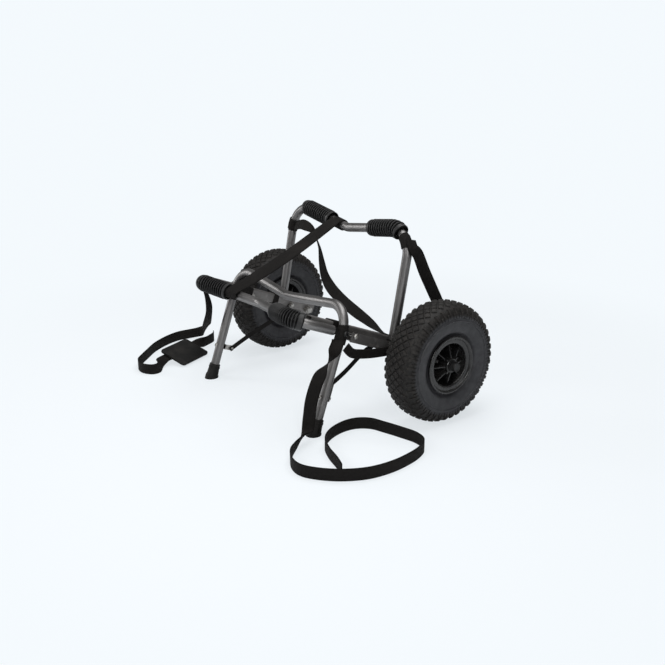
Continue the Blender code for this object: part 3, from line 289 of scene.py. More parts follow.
def half_frame(reach, dip, bend, arm_end, dip_radius=0.06):
    """The half of a U frame's centreline from its middle to an arm's end, as (x, height) pairs."""
    slope = math.atan2(dip, FRAME_HALF - bend)
    start = dip_radius * math.tan(slope / 2)
    dip_centre = reach - dip + start * math.sin(slope) + dip_radius * math.cos(slope)
    half = []
    for i in range(7):
        angle = slope * i / 6
        half.append((dip_radius * math.sin(angle), dip_centre - dip_radius * math.cos(angle)))
    corner_x = FRAME_HALF - bend
    end_x = corner_x - bend * math.sin(slope)
    end_height = half[-1][1] + (end_x - half[-1][0]) * math.tan(slope)
    corner_height = end_height - bend * math.cos(slope)
    turn = math.radians(90) + slope
    for i in range(BEND_STEPS + 1):
        angle = turn * (1 - i / BEND_STEPS)
        half.append((corner_x + bend * math.cos(angle), corner_height + bend * math.sin(angle)))
    half.append((FRAME_HALF, arm_end))
    return half


class Route:
    """A smooth centreline, measured along its length from its middle, with a way across it."""

    def __init__(self, points, across):
        self.points = points
        self.across = across
        self.marks = [0.0]
        for a, b in zip(points, points[1:]):
            self.marks.append(self.marks[-1] + (b - a).length)
        middle = self.marks[len(points) // 2]
        self.marks = [mark - middle for mark in self.marks]

    def at(self, distance):
        """The point, and the direction, at a distance along the route."""
        last = len(self.points) - 2
        i = next((k for k in range(last + 1) if distance <= self.marks[k + 1]), last)
        share = (distance - self.marks[i]) / (self.marks[i + 1] - self.marks[i])
        going = (self.points[i + 1] - self.points[i]).normalized()
        if 0 < i and share < 0.5:
            before = (self.points[i] - self.points[i - 1]).normalized()
            going = before.lerp(going, 0.5 + share).normalized()
        if i < last and share >= 0.5:
            after = (self.points[i + 2] - self.points[i + 1]).normalized()
            going = going.lerp(after, share - 0.5).normalized()
        return self.points[i].lerp(self.points[i + 1], share), going

    def station(self, distance):
        """Axes with the third along the route, at a distance along it."""
        point, going = self.at(distance)
        side = self.across.cross(going).normalized()
        return Matrix.Translation(point) @ Matrix((self.across, side, going)).transposed().to_4x4()

    def even(self, start, end, step):
        count = max(1, math.ceil((end - start) / step))
        return [start + (end - start) * i / count for i in range(count + 1)]


def frame_route(half, centre, up):
    flat = [(-x, height) for x, height in reversed(half[1:])] + half
    points = [centre + ACROSS * x + up * height for x, height in flat]
    return Route(points, ACROSS.cross(up))


def swept(section, stations, closed=False):
    """Pull a loop of (x, y) points through the stations; cap its ends, or join them into a ring.

    Each point keeps its place over the section, its distance along and its distance out, which the
    finishes read.
    """
    bm = bmesh.new()
    around = bm.verts.layers.float.new("across")
    length = bm.verts.layers.float.new("along")
    reach = bm.verts.layers.float.new("reach")
    first = stations[0][1] if isinstance(stations[0], tuple) else section
    ring = [bm.verts.new((x, y, 0)) for x, y in first]
    for vert, (x, y) in zip(ring, first):
        vert[around] = x
    bm.faces.new(ring)
    edges = [bm.edges.get(pair) for pair in zip(ring, ring[1:] + ring[:1])]
    start_face = bm.faces[:] if hasattr(bm.faces, "__getitem__") else list(bm.faces)
    travelled = 0.0
    last_place = None
    loops = [(ring, edges)]
    for number, item in enumerate(stations):
        place, points = item if isinstance(item, tuple) else (item, section)
        if number:
            result = bmesh.ops.extrude_edge_only(bm, edges=edges)["geom"]
            fresh = {v for v in result if isinstance(v, bmesh.types.BMVert)}
            following = []
            for vert in ring:
                following.append(next(e.other_vert(vert) for e in vert.link_edges if e.other_vert(vert) in fresh))
            ring = following
            edges = [bm.edges.get(pair) for pair in zip(ring, ring[1:] + ring[:1])]
            travelled += (place.translation - last_place).length
            loops.append((ring, edges))
        for vert, (x, y) in zip(ring, points):
            vert.co = place @ Vector((x, y, 0))
            vert[around] = x
            vert[length] = travelled
            vert[reach] = math.hypot(x, y)
        last_place = place.translation.copy()
    if closed:
        bmesh.ops.delete(bm, geom=[f for f in bm.faces if len(f.verts) > 4 or f in start_face], context="FACES_ONLY")
        bmesh.ops.bridge_loops(bm, edges=loops[0][1] + loops[-1][1])
    else:
        bm.faces.new(ring)
    bmesh.ops.recalc_face_normals(bm, faces=bm.faces)
    return bm


def round_section(radius, sides=FRAME_SIDES):
    return [
        (radius * math.cos(math.tau * i / sides), radius * math.sin(math.tau * i / sides)) for i in range(sides)
    ]


def piece(name, bm, finish, body, *stands_for, sharp=35):
    """Turn a bmesh into a finished piece that stands for CAD pieces.

    It rides on one body; given (body, body, start, end) it is attached to none and stays where it is made.
    """
    mesh = bpy.data.meshes.new(name)
    bm.to_mesh(mesh)
    bm.free()
    mesh.shade_smooth()
    mesh.set_sharp_from_angle(angle=math.radians(sharp))
    mesh.materials.append(finish.material)
    thing = bpy.data.objects.new(name, mesh)
    bpy.context.collection.objects.link(thing)
    if isinstance(body, str):
        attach(thing, body)
    else:
        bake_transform(thing)
    if stands_for:
        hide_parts(*stands_for)
    return thing


TUBE_GREY = (0.205, 0.200, 0.198)
tube_metal = Finish("grey_tube", TUBE_GREY, 0.3, 1.0)
cloud = tube_metal.noise(9, 4, 0.6)
scuffs = tube_metal.noise(420, 3, 0.7)
scratch = tube_metal.noise(1.0, 3, 0.6, tube_metal.place((60, 60, 900)))
bare = tube_metal.noise(75, 3, 0.6).limited(0.64, 0.74)
grey = tube_metal.mix(cloud.limited(0.3, 0.7), [c * 0.82 for c in TUBE_GREY], [c * 1.10 for c in TUBE_GREY])
tube_metal.set(
    Base_Color=tube_metal.mix(bare * 0.3, grey, (0.36, 0.35, 0.34)),
    Roughness=0.34 + 0.08 * cloud + 0.06 * scratch,
)
tube_metal.bump(scuffs, 0.00002, 0.3)

REAR_LEAN = math.radians(78.9)
KICK_LEAN = math.radians(70.3)
REAR_CENTRE = on_rail(0.0535, 0.0010)
KICK_CENTRE = on_rail(0.198)
REAR_UP = Vector((0, math.cos(REAR_LEAN), math.sin(REAR_LEAN)))
KICK_UP = Vector((0, math.cos(KICK_LEAN), math.sin(KICK_LEAN)))
FRONT_ARM_END = 0.2245
LEG_TO_GROUND = KICK_CENTRE.z / KICK_UP.z
LEG_END = -(LEG_TO_GROUND - 0.004 - TUBE_R * KICK_UP.y / KICK_UP.z)
front_route = frame_route(half_frame(0.3156, 0.050, 0.045, FRONT_ARM_END), AXLE, ALONG)
rear_route = frame_route(half_frame(0.2404, 0.0227, 0.053, 0.0105), REAR_CENTRE, REAR_UP)
kick_route = frame_route(half_frame(0.050, 0.019, 0.046, LEG_END), KICK_CENTRE, KICK_UP)
for name, route, body in (
    ("front_frame", front_route, "chassis"),
    ("rear_frame", rear_route, "rear_frame"),
    ("kickstand", kick_route, "kickstand"),
):
    marks = route.marks
    stops = sorted(set(round(m, 6) for m in marks) | set(round(m, 6) for m in route.even(marks[0], marks[-1], 0.012)))
    stops = [s for i, s in enumerate(stops) if i == 0 or s - stops[i - 1] > 0.0012]
    bm = swept(round_section(TUBE_R), [route.station(s) for s in stops])
    piece(f"{name}_tube", bm, tube_metal, body, name)


# Pads: ribbed black foam rubber sleeves pushed onto the cross bars, with a smooth collar at each end
# and a rounded mouth that stands a little off the tube.
PAD_R = 0.0192
PAD_COLLAR_R = 0.0182
PAD_MOUTH_R = 0.0158
PAD_HOLLOW = 0.007
RIB_DEPTH = 0.0036
foam = Finish("foam_rubber", (0.004, 0.004, 0.004), 0.4, Specular_IOR_Level=0.18)
dust = foam.noise(26, 4, 0.6)
reach = foam.node("ShaderNodeAttribute", output="Fac", attribute_name="reach")
# Painted highlight: the rib crests and the collars get a lighter grey base colour, a painted highlight line on black
# foam
painted_crest_highlight = reach.limited(PAD_R - 0.0004, PAD_R)
painted_collar_highlight = reach.limited(PAD_COLLAR_R - 0.0006, PAD_COLLAR_R - 0.0002) * (
    1 - reach.limited(PAD_COLLAR_R + 0.0001, PAD_COLLAR_R + 0.0004)
)
skin = foam.mix(dust.limited(0.35, 0.75), (0.0006, 0.0006, 0.0006), (0.0020, 0.0020, 0.0020))
# The light grey mixed in on crests and collars is painted highlight. The dust mix is the foam's own tone.
foam.set(
    Base_Color=foam.mix((painted_crest_highlight + painted_collar_highlight * 0.5).math("MINIMUM", 1.0), skin, (0.060, 0.060, 0.061)),
    Roughness=0.24 + 0.14 * dust,
)
foam.bump(foam.noise(700, 2, 0.6), 0.00004, 0.3)


def sleeve(route, profile, inner, sides=48, tilt=0.0, hollow=0.0):
    """A ring round the route's tube. The profile is (distance, radius) pairs; inner is its bore.

    A hollow is how deep its mouths stand clear of the tube.
    """
    stations = []
    for distance, radius in profile:
        stations.append((route.station(distance), round_section(radius, sides)))
    first, last = profile[0][0], profile[-1][0]
    hollow = hollow if last - first > 4 * hollow else 0.0
    inside = route.even(first + hollow, last - hollow, 0.008)
    if hollow:
        stations.append((route.station(last - hollow + 0.0008), round_section(profile[-1][1] - 0.0022, sides)))
    for distance in reversed(inside):
        stations.append((route.station(distance), round_section(inner, sides)))
    if hollow:
        stations.append((route.station(first + hollow - 0.0008), round_section(profile[0][1] - 0.0022, sides)))
    bm = swept(None, stations, closed=True)
    if tilt:
        for vert in bm.verts:
            point, going = route.at((first + last) / 2)
            vert.co += going * ((vert.co - point).dot(route.across) * tilt)
    bmesh.ops.recalc_face_normals(bm, faces=bm.faces)
    return bm


def pad_profile(start, end, collars, rib_pitch):
    """Rounded mouths, plain collars and a row of round-topped ribs between them."""
    low, high = start + collars[0], end - collars[1]
    line = []
    for i in range(5):
        angle = math.radians(90) * i / 4
        line.append((start + 0.003 * (1 - math.cos(angle)), PAD_MOUTH_R + (PAD_COLLAR_R - PAD_MOUTH_R) * math.sin(angle)))
    line.append((low - 0.0012, PAD_COLLAR_R))
    ribs = max(1, round((high - low) / rib_pitch))
    pitch = (high - low) / ribs
    for k in range(ribs):
        root = low + pitch * k
        for share, drop in (
            (0.00, RIB_DEPTH), (0.22, RIB_DEPTH), (0.30, 0.0018), (0.42, 0.0004), (0.52, 0.0), (0.62, 0.0004),
            (0.74, 0.0018), (0.82, RIB_DEPTH),
        ):
            line.append((root + pitch * share, PAD_R - drop))
    line.append((high + 0.0002, PAD_R - RIB_DEPTH))
    line.append((high + 0.0012, PAD_COLLAR_R))
    for i in range(5):
        angle = math.radians(90) * (1 - i / 4)
        line.append((end - 0.003 * (1 - math.cos(angle)), PAD_MOUTH_R + (PAD_COLLAR_R - PAD_MOUTH_R) * math.sin(angle)))
    return line


for name, route, span, collars, rib_pitch, body in (
    ("front_pad_left", front_route, (-0.176, -0.0905), (0.007, 0.009), 0.0063, "chassis"),
    ("front_pad_right", front_route, (0.105, 0.2090), (0.009, 0.010), 0.0050, "chassis"),
    ("rear_pad_left", rear_route, (-0.162, -0.057), (0.009, 0.009), 0.0075, "rear_frame"),
    ("rear_pad_right", rear_route, (0.082, 0.180), (0.009, 0.009), 0.0075, "rear_frame"),
):
    bm = sleeve(route, pad_profile(*span, collars, rib_pitch), TUBE_R + 0.0008, hollow=PAD_HOLLOW)
    piece(f"{name}_sleeve", bm, foam, body, name, sharp=60)


# Plastic fittings: domed plugs in the front arms, eyes in the rear arms, and a moulded spacer on each
# rail that keeps the arm off it. All are black nylon with a fine moulded grain.
nylon = Finish("black_nylon", (0.006, 0.006, 0.006), 0.42, Specular_IOR_Level=0.35)
grain = nylon.noise(900, 2, 0.6)
wear = nylon.noise(40, 3, 0.6)
nylon.set(
    Base_Color=nylon.mix(wear.limited(0.4, 0.7), (0.005, 0.005, 0.005), (0.014, 0.0135, 0.013)),
    Roughness=0.30 + 0.2 * wear,
)
nylon.bump(grain, 0.00005, 0.4)
dress(nylon, *both("side_spacer", "rear_eye"))


def spun(profile, centre, axis, up, steps=48):
    """Spin a closed profile of (place along the axis, radius) pairs into a ring or a solid."""
    bm = bmesh.new()
    corners = [bm.verts.new(centre + axis * along + up * radius) for along, radius in profile]
    edges = [bm.edges.new(pair) for pair in zip(corners, corners[1:] + corners[:1])]
    bmesh.ops.spin(
        bm, geom=corners + edges, cent=centre, axis=axis, angle=math.tau, steps=steps, use_merge=True
    )
    bmesh.ops.remove_doubles(bm, verts=bm.verts, dist=1e-6)
    loose = [e for e in bm.edges if not e.link_faces]
    bmesh.ops.delete(bm, geom=loose, context="EDGES")
    slivers = [f for f in bm.faces if f.calc_area() < 1e-13]
    bmesh.ops.delete(bm, geom=slivers, context="FACES_ONLY")
    bmesh.ops.recalc_face_normals(bm, faces=bm.faces)
    return bm


def eased(points, cuts):
    """A closed outline with some of its corners rounded off; cuts gives each corner's size, or 0."""
    line = []
    count = len(points)
    for i, point in enumerate(points):
        cut = cuts[i] if isinstance(cuts, (list, tuple)) else cuts
        here = Vector(point)
        if not cut or point[1] < 1e-6:
            line.append(tuple(here))
            continue
        before = Vector(points[i - 1])
        after = Vector(points[(i + 1) % count])
        a = here + (before - here).normalized() * min(cut, (before - here).length * 0.45)
        b = here + (after - here).normalized() * min(cut, (after - here).length * 0.45)
        line += [tuple(a), tuple((a + b) / 4 + here / 2), tuple(b)]
    return line


DOME_R = TUBE_R - 0.0003
for side, sign in SIDES.items():
    end = on_rail(FRONT_ARM_END, 0, sign * FRAME_HALF)
    dome = [
        (-DOME_R * math.sin(math.radians(a)) - 0.0003, DOME_R * math.cos(math.radians(a))) for a in range(0, 90, 10)
    ]
    bm = spun([(-DOME_R - 0.0003, 0)] + dome[::-1] + [(-0.0003, 0.0082), (0.009, 0.0082), (0.009, 0)], end, ALONG, SQUARE)
    piece(f"arm_plug_{side}_dome", bm, nylon, "chassis", f"arm_plug_{side}")


# Boots: moulded rubber feet on the kickstand's legs, flared at the sole, with a raised band
boot_rubber = Finish("boot_rubber", (0.006, 0.006, 0.0055), 0.58, Specular_IOR_Level=0.25)
dust = boot_rubber.noise(34, 4, 0.65)
speck = boot_rubber.noise(700, 2, 0.6)
boot_rubber.set(
    Base_Color=boot_rubber.mix(dust.limited(0.42, 0.72), (0.004, 0.004, 0.0038), (0.016, 0.0145, 0.013)),
    Roughness=0.5 + 0.25 * dust,
)
boot_rubber.bump(speck, 0.0001, 0.5)
KICK_ACROSS = ACROSS.cross(KICK_UP)
for side, sign in SIDES.items():
    ground = KICK_CENTRE - KICK_UP * LEG_TO_GROUND + ACROSS * sign * FRAME_HALF
    outline = [
        (-0.012, 0.0), (-0.012, 0.0155), (0.004, 0.0155), (0.0075, 0.0150), (0.009, 0.0138), (0.024, 0.0126),
        (0.0248, 0.0134), (0.0275, 0.0134), (0.0283, 0.0126), (0.0334, 0.0125), (0.034, 0.0119), (0.034, 0.0104),
        (0.026, 0.0104), (0.026, 0.0),
    ]
    bm = spun(outline, ground, KICK_UP, KICK_ACROSS)
    everything = bm.verts[:] + bm.edges[:] + bm.faces[:]
    bmesh.ops.bisect_plane(bm, geom=everything, plane_co=(0, 0, 0), plane_no=(0, 0, 1), clear_inner=True)
    bmesh.ops.holes_fill(bm, edges=[e for e in bm.edges if e.is_boundary], sides=0)
    bmesh.ops.recalc_face_normals(bm, faces=bm.faces)
    piece(f"foot_{side}_boot", bm, boot_rubber, "kickstand", f"foot_{side}")


# Fasteners: zinc-plated dome head bolts with a hexagon socket, each with its washer and lock nut
zinc = Finish("zinc_plate", (0.42, 0.41, 0.39), 0.28, 1.0)
cloud = zinc.noise(90, 3, 0.6)
zinc.set(
    Base_Color=zinc.mix(cloud.limited(0.35, 0.7), (0.28, 0.27, 0.255), (0.50, 0.49, 0.47)),
    Roughness=0.2 + 0.22 * cloud,
)
zinc.bump(zinc.noise(1200, 2, 0.6), 0.00002, 0.5)
GAP = 0.0003
RAIL_INNER = 0.170
BRACKET_OUTER = 0.2213
BOLT_R = 0.00285


def hexagon_prism(bm, place, across_corners, height, drop=0.0):
    made = bmesh.ops.create_cone(
        bm, cap_ends=True, segments=6, radius1=across_corners, radius2=across_corners, depth=height,
        matrix=place @ Matrix.Translation((0, 0, height / 2 + drop)),
    )
    edges = list({e for v in made["verts"] for e in v.link_edges})
    bmesh.ops.bevel(bm, geom=edges, offset=0.0004, segments=2, profile=0.5, affect="EDGES", material=-1)


def bolt(
    name, middle, out, seat, nut_seat, body, stands_for, radius=BOLT_R, head_r=0.0055, head=0.0035, up=SQUARE,
    nut=0.005, finish=zinc,
):
    """One dome head bolt from its head's seat to its nut's seat, both measured along out."""
    nut *= radius / BOLT_R
    tip = nut_seat - nut - radius / 2
    dome = [(seat + head * math.sin(math.radians(a)), head_r * math.cos(math.radians(a)) ** 0.7) for a in range(8, 76, 8)]
    socket_r = head_r * 0.42
    profile = [(tip, 0.0), (tip, radius * 0.8), (tip + 0.0005, radius)]
    if nut:
        profile += [
            (nut_seat - GAP, radius), (nut_seat - GAP, radius * 2.2), (nut_seat, radius * 2.3), (nut_seat, radius)
        ]
    profile += [(seat, radius), (seat, head_r * 1.15), (seat + 0.0006, head_r * 1.15), (seat + 0.0006, head_r)]
    profile += dome
    profile += [(seat + head, socket_r), (seat + head * 0.45, socket_r * 0.95), (seat + head * 0.45, 0.0)]
    bm = spun(profile, middle, out, up, 32)
    place = Matrix.Translation(middle + out * (nut_seat - GAP)) @ Matrix(
        (up.cross(out), up, -out)
    ).transposed().to_4x4()
    if nut:
        hexagon_prism(bm, place, radius * 1.95, nut)
    bmesh.ops.recalc_face_normals(bm, faces=bm.faces)
    piece(name, bm, finish, body, *stands_for, sharp=30)


LIMIT_THICK = 0.0016
STRAP_X = RAIL_INNER - GAP - LIMIT_THICK / 2
TUBE_TAB_GAP = TUBE_R + 2 * GAP
TAB_THICK = 0.0015
BEHIND = KICK_UP.cross(ACROSS)
TAB_CENTRE = KICK_CENTRE - KICK_UP * 0.138
for side, sign in SIDES.items():
    out = ACROSS * sign
    strap_face = STRAP_X - LIMIT_THICK / 2 - GAP
    nut_face = RAIL_INNER - GAP
    for stem, middle, seat, nut_seat in (
        (f"rear_pivot_bolt_{side}", REAR_CENTRE, BRACKET_OUTER + GAP, strap_face),
        (f"kickstand_pivot_bolt_{side}", KICK_CENTRE, FRAME_HALF + 0.0125 + GAP, nut_face),
        (f"bracket_bolt_{side}", on_rail(0.172), BRACKET_OUTER + GAP, nut_face),
    ):
        finish = nylon if stem.startswith("kickstand") else zinc
        bolt(f"{stem}_set", middle, out, seat, nut_seat, "chassis", [stem], finish=finish)
    for number, along in enumerate((0.228, 0.2561), 1):
        bolt(
            f"front_bolt_{side}_{number}_set", on_rail(along), -out, -nut_face, -FRAME_HALF, "chassis",
            [f"front_bolt_{side}_{number}"], nut=0,
        )
    bolt(
        f"tab_bolt_{side}_set", TAB_CENTRE + out * FRAME_HALF, -BEHIND, TUBE_R + GAP, -(TUBE_TAB_GAP + TAB_THICK),
        "kickstand", [f"tab_bolt_{side}"], 0.0022, 0.0045, 0.003, KICK_UP,
    )
dress(zinc, *both("strap_tab"))


# Wheel parts: a zinc stub axle through each bracket, a nylon sleeve in the hub, and a black dome cap
NUT_FACE = RAIL_INNER - GAP
HALF_TRACK = 0.2976
HUB_HALF = 0.040
CAP_FACE = HALF_TRACK + HUB_HALF + GAP + 0.0022 + GAP
AXLE_R = 0.006
for side, sign in SIDES.items():
    out = ACROSS * sign
    hub = AXLE + out * HALF_TRACK
    collar_in = BRACKET_OUTER + GAP
    collar_out = HALF_TRACK - HUB_HALF - 2 * GAP
    tip = CAP_FACE + 0.0075
    bm = spun(eased([
        (NUT_FACE - 0.0085, 0.0), (NUT_FACE - 0.0085, AXLE_R), (NUT_FACE - GAP, AXLE_R), (NUT_FACE - GAP, 0.0102),
        (NUT_FACE, 0.0102), (NUT_FACE, AXLE_R), (collar_in, AXLE_R), (collar_in, 0.010),
        (collar_out, 0.010), (collar_out, AXLE_R), (tip, AXLE_R), (tip, 0.0),
    ], 0.0006), AXLE, out, SQUARE, 40)
    place = Matrix.Translation(AXLE + out * (NUT_FACE - GAP)) @ Matrix(
        (SQUARE.cross(out), SQUARE, -out)
    ).transposed().to_4x4()
    hexagon_prism(bm, place, 0.0098, 0.0068)
    piece(f"axle_{side}_stub", bm, zinc, "chassis", f"axle_{side}", sharp=30)
    flange = HUB_HALF + GAP
    bm = spun(eased([
        (-HUB_HALF, AXLE_R + 0.0004), (-HUB_HALF, 0.0085), (flange, 0.0085), (flange, 0.0125),
        (flange + 0.0022, 0.0125), (flange + 0.0022, AXLE_R + 0.0004),
    ], 0.0003), hub, out, SQUARE, 40)
    piece(f"wheel_bush_{side}_sleeve", bm, nylon, f"wheel_{side}", f"wheel_bush_{side}", sharp=30)
    cap = [
        (CAP_FACE, AXLE_R + GAP), (CAP_FACE, 0.0100), (CAP_FACE + 0.0006, 0.0106), (CAP_FACE + 0.0030, 0.0106),
        (CAP_FACE + 0.0035, 0.0098), (CAP_FACE + 0.0095, 0.0094), (CAP_FACE + 0.0108, 0.0088),
        (CAP_FACE + 0.0112, 0.0080), (CAP_FACE + 0.0108, 0.0072), (CAP_FACE + 0.0098, 0.0066),
        (CAP_FACE + 0.0096, 0.0030), (CAP_FACE + 0.0096, 0.0), (tip + GAP, 0.0), (tip + GAP, AXLE_R + GAP),
    ]
    bm = spun(cap, AXLE, out, SQUARE, 48)
    piece(f"axle_cap_{side}_dome", bm, nylon, "chassis", f"axle_cap_{side}")


# Rims: black moulded plastic dishes with a rolled lip, eight thin ribs inside and out, and a webbed hub
RIM_RIBS = 8
RIM_LIP_R = 0.0615
RIM_HALF = 0.0385
RIM_OPEN_R = 0.0450
HUB_R = 0.016
rim_plastic = Finish("rim_plastic", (0.010, 0.010, 0.010), 0.3, Specular_IOR_Level=0.5)
wear = rim_plastic.noise(30, 4, 0.6)
rim_plastic.set(
    Base_Color=rim_plastic.mix(wear.limited(0.35, 0.7), (0.006, 0.006, 0.0062), (0.020, 0.0195, 0.019)),
    Roughness=0.17 + 0.18 * wear,
)
rim_plastic.bump(rim_plastic.noise(1100, 2, 0.6), 0.00004, 0.4)
valve_finish = Finish("valve_rubber", (0.008, 0.008, 0.008), 0.5)
valve_finish.set(Roughness=0.4 + 0.25 * valve_finish.noise(500, 2))


HUB_WEBS = 4
ribs = bmesh.new()
for face in (1, -1):
    made = bmesh.ops.create_cube(ribs, size=1)["verts"]
    bmesh.ops.scale(ribs, vec=(0.0255, 0.0024, 0.030), verts=made)
    made = bmesh.ops.bevel(
        ribs, geom=list({e for v in made for e in v.link_edges}), offset=0.0006, segments=2, profile=0.5,
        affect="EDGES", material=-1,
    )["verts"]
    bmesh.ops.translate(ribs, vec=(face * 0.0138, 0, 0.0300), verts=made)
    for vert in made:
        if abs(vert.co.x) > 0.008:
            vert.co.x += face * 0.0095 * (0.046 - vert.co.z) / 0.030
rib_mesh = bpy.data.meshes.new("rib")
ribs.to_mesh(rib_mesh)
ribs.free()
webs = bmesh.new()
bmesh.ops.create_cube(webs, size=1)
bmesh.ops.scale(webs, vec=(0.009, 0.0030, 0.0090), verts=webs.verts)
bmesh.ops.bevel(
    webs, geom=webs.edges[:], offset=0.0006, segments=2, profile=0.5, affect="EDGES", material=-1
)
bmesh.ops.translate(webs, vec=(0.0345, 0, 0.0165), verts=webs.verts)
bmesh.ops.rotate(webs, verts=webs.verts, cent=(0, 0, 0), matrix=Matrix.Rotation(math.tau / 8, 3, "X"))
web_mesh = bpy.data.meshes.new("web")
webs.to_mesh(web_mesh)
webs.free()
spoke_up = Vector((0, 0, 1))
for side, sign in SIDES.items():
    out = ACROSS * sign
    hub = AXLE + out * HALF_TRACK
    half_profile = [
        (0.0, 0.0547), (0.030, 0.0547), (0.0336, 0.0572), (RIM_HALF - 0.0022, RIM_LIP_R - 0.0006),
        (RIM_HALF - 0.0012, RIM_LIP_R), (RIM_HALF - 0.0003, RIM_LIP_R - 0.0008), (RIM_HALF, RIM_LIP_R - 0.0024),
        (RIM_HALF - 0.0006, 0.0572), (RIM_HALF - 0.0014, 0.0562), (RIM_HALF - 0.0040, 0.0548), (RIM_HALF - 0.0036, 0.0485),
        (RIM_HALF - 0.0048, 0.0460), (RIM_HALF - 0.0070, RIM_OPEN_R), (0.0060, RIM_OPEN_R - 0.001), (0.0030, RIM_OPEN_R - 0.003),
        (0.0020, RIM_OPEN_R - 0.005), (0.0020, HUB_R + 0.003), (0.0030, HUB_R + 0.0008),
        (HUB_HALF - 0.0010, HUB_R - 0.001), (HUB_HALF, HUB_R - 0.002), (HUB_HALF, 0.0094), (HUB_HALF - 0.0006, 0.0088),
    ]
    whole = half_profile + [(-x, r) for x, r in reversed(half_profile[1:])]
    bm = spun(whole, Vector(), ACROSS, SQUARE, 96)
    for _ in range(RIM_RIBS):
        rib_mesh.transform(Matrix.Rotation(math.tau / RIM_RIBS, 4, "X"))
        bm.from_mesh(rib_mesh)
    for _ in range(HUB_WEBS):
        web_mesh.transform(Matrix.Rotation(math.tau / HUB_WEBS, 4, "X"))
        bm.from_mesh(web_mesh)
    bmesh.ops.translate(bm, verts=bm.verts, vec=hub)
    bmesh.ops.recalc_face_normals(bm, faces=bm.faces)
    piece(f"rim_{side}_dish", bm, rim_plastic, f"wheel_{side}", f"rim_{side}", sharp=40)

    spoke = Matrix.Rotation(math.tau * 1.5 / RIM_RIBS, 3, out) @ spoke_up
    lean = (out * 0.8 - spoke * 0.6).normalized()
    root = hub + out * 0.010 + spoke * (RIM_OPEN_R + 0.004)
    bm = spun(eased([
        (-0.008, 0.0), (-0.008, 0.0026), (0.014, 0.0026), (0.0142, 0.0036), (0.0236, 0.0036), (0.025, 0.0030), (0.025, 0.0),
    ], 0.0003), root, lean, lean.orthogonal().normalized(), 24)
    piece(f"valve_{side}_stem", bm, valve_finish, f"wheel_{side}", f"valve_{side}")


# Tyres: fat pneumatic tyres, smooth on the sidewall, with rows of diamond blocks over the crown and
# a row of square lugs on each shoulder, moulded in charcoal rubber.
tyre_rubber = Finish("tyre_rubber", (0.022, 0.022, 0.024), 0.6, Specular_IOR_Level=0.3)
spot = tyre_rubber.place()
height = tyre_rubber.node("ShaderNodeSeparateXYZ", {0: spot}, output=2) - AXLE.z
depth = tyre_rubber.node("ShaderNodeSeparateXYZ", {0: spot}, output=1) - AXLE.y
radius = (height * height + depth * depth).math("SQRT")
crown_share = radius.limited(0.1010, 0.1080)
bead = radius.limited(0.0935, 0.0948) * (1 - radius.limited(0.0956, 0.0968))
cloud = tyre_rubber.noise(16, 5, 0.65)
dust = tyre_rubber.noise(170, 4, 0.7)
mottle = tyre_rubber.noise(70, 5, 0.7)
bloom = tyre_rubber.mix(cloud * 0.6 + mottle.limited(0.3, 0.7) * 0.4, (0.010, 0.010, 0.012), (0.049, 0.0495, 0.0535))
crown = tyre_rubber.mix(dust.limited(0.35, 0.7), (0.0045, 0.0040, 0.0037), (0.020, 0.0175, 0.0155))
tyre_rubber.set(
    Base_Color=tyre_rubber.mix(crown_share, bloom, crown),
    Roughness=0.36 + 0.24 * cloud + 0.14 * crown_share - 0.22 * bead,
)
tyre_rubber.bump(0.6 * dust + mottle, 0.00022, 0.5)
CARCASS = [
    (0.0290, 0.0568), (0.0295, 0.0620), (0.0312, 0.0660), (0.0345, 0.0682), (0.0366, 0.0700), (0.0380, 0.0740),
    (0.0402, 0.0830), (0.0411, 0.0890), (0.0414, 0.0936), (0.0427, 0.0943), (0.0430, 0.0951), (0.0426, 0.0959),
    (0.0410, 0.0967), (0.0409, 0.0985), (0.0403, 0.1030), (0.0390, 0.1085), (0.0364, 0.1138), (0.0318, 0.1186),
    (0.0246, 0.1226), (0.0150, 0.1250), (0.0060, 0.1258), (0.0, 0.1259),
]
TREAD_START = 13
PITCHES = 42
PITCH = math.tau / PITCHES
PITCH_LENGTH = PITCH * 0.1275
DIAMOND_ROWS = (-2, -1, 0, 1, 2)
GROOVE = 0.0017
BLOCK_LIFT = 0.0032
FADE_FROM = 0.012
crown_line = [Vector(point) for point in CARCASS[TREAD_START:]]
crown_line += [Vector((-x, r)) for x, r in reversed(CARCASS[TREAD_START:-1])]
crown_marks = [0.0]
for a, b in zip(crown_line, crown_line[1:]):
    crown_marks.append(crown_marks[-1] + (b - a).length)
HALF_CROWN = crown_marks[-1] / 2


def on_crown(across, lift):
    """A place (x, radius) on the tread by its distance from the middle, lifted off the carcass."""
    mark = min(max(across + HALF_CROWN, 0.0), crown_marks[-1] - 1e-7)
    i = next(k for k in range(len(crown_marks) - 1) if mark <= crown_marks[k + 1])
    share = (mark - crown_marks[i]) / (crown_marks[i + 1] - crown_marks[i])
    way = (crown_line[i + 1] - crown_line[i]).normalized()
    return crown_line[i].lerp(crown_line[i + 1], share) + Vector((way.y, -way.x)) * lift


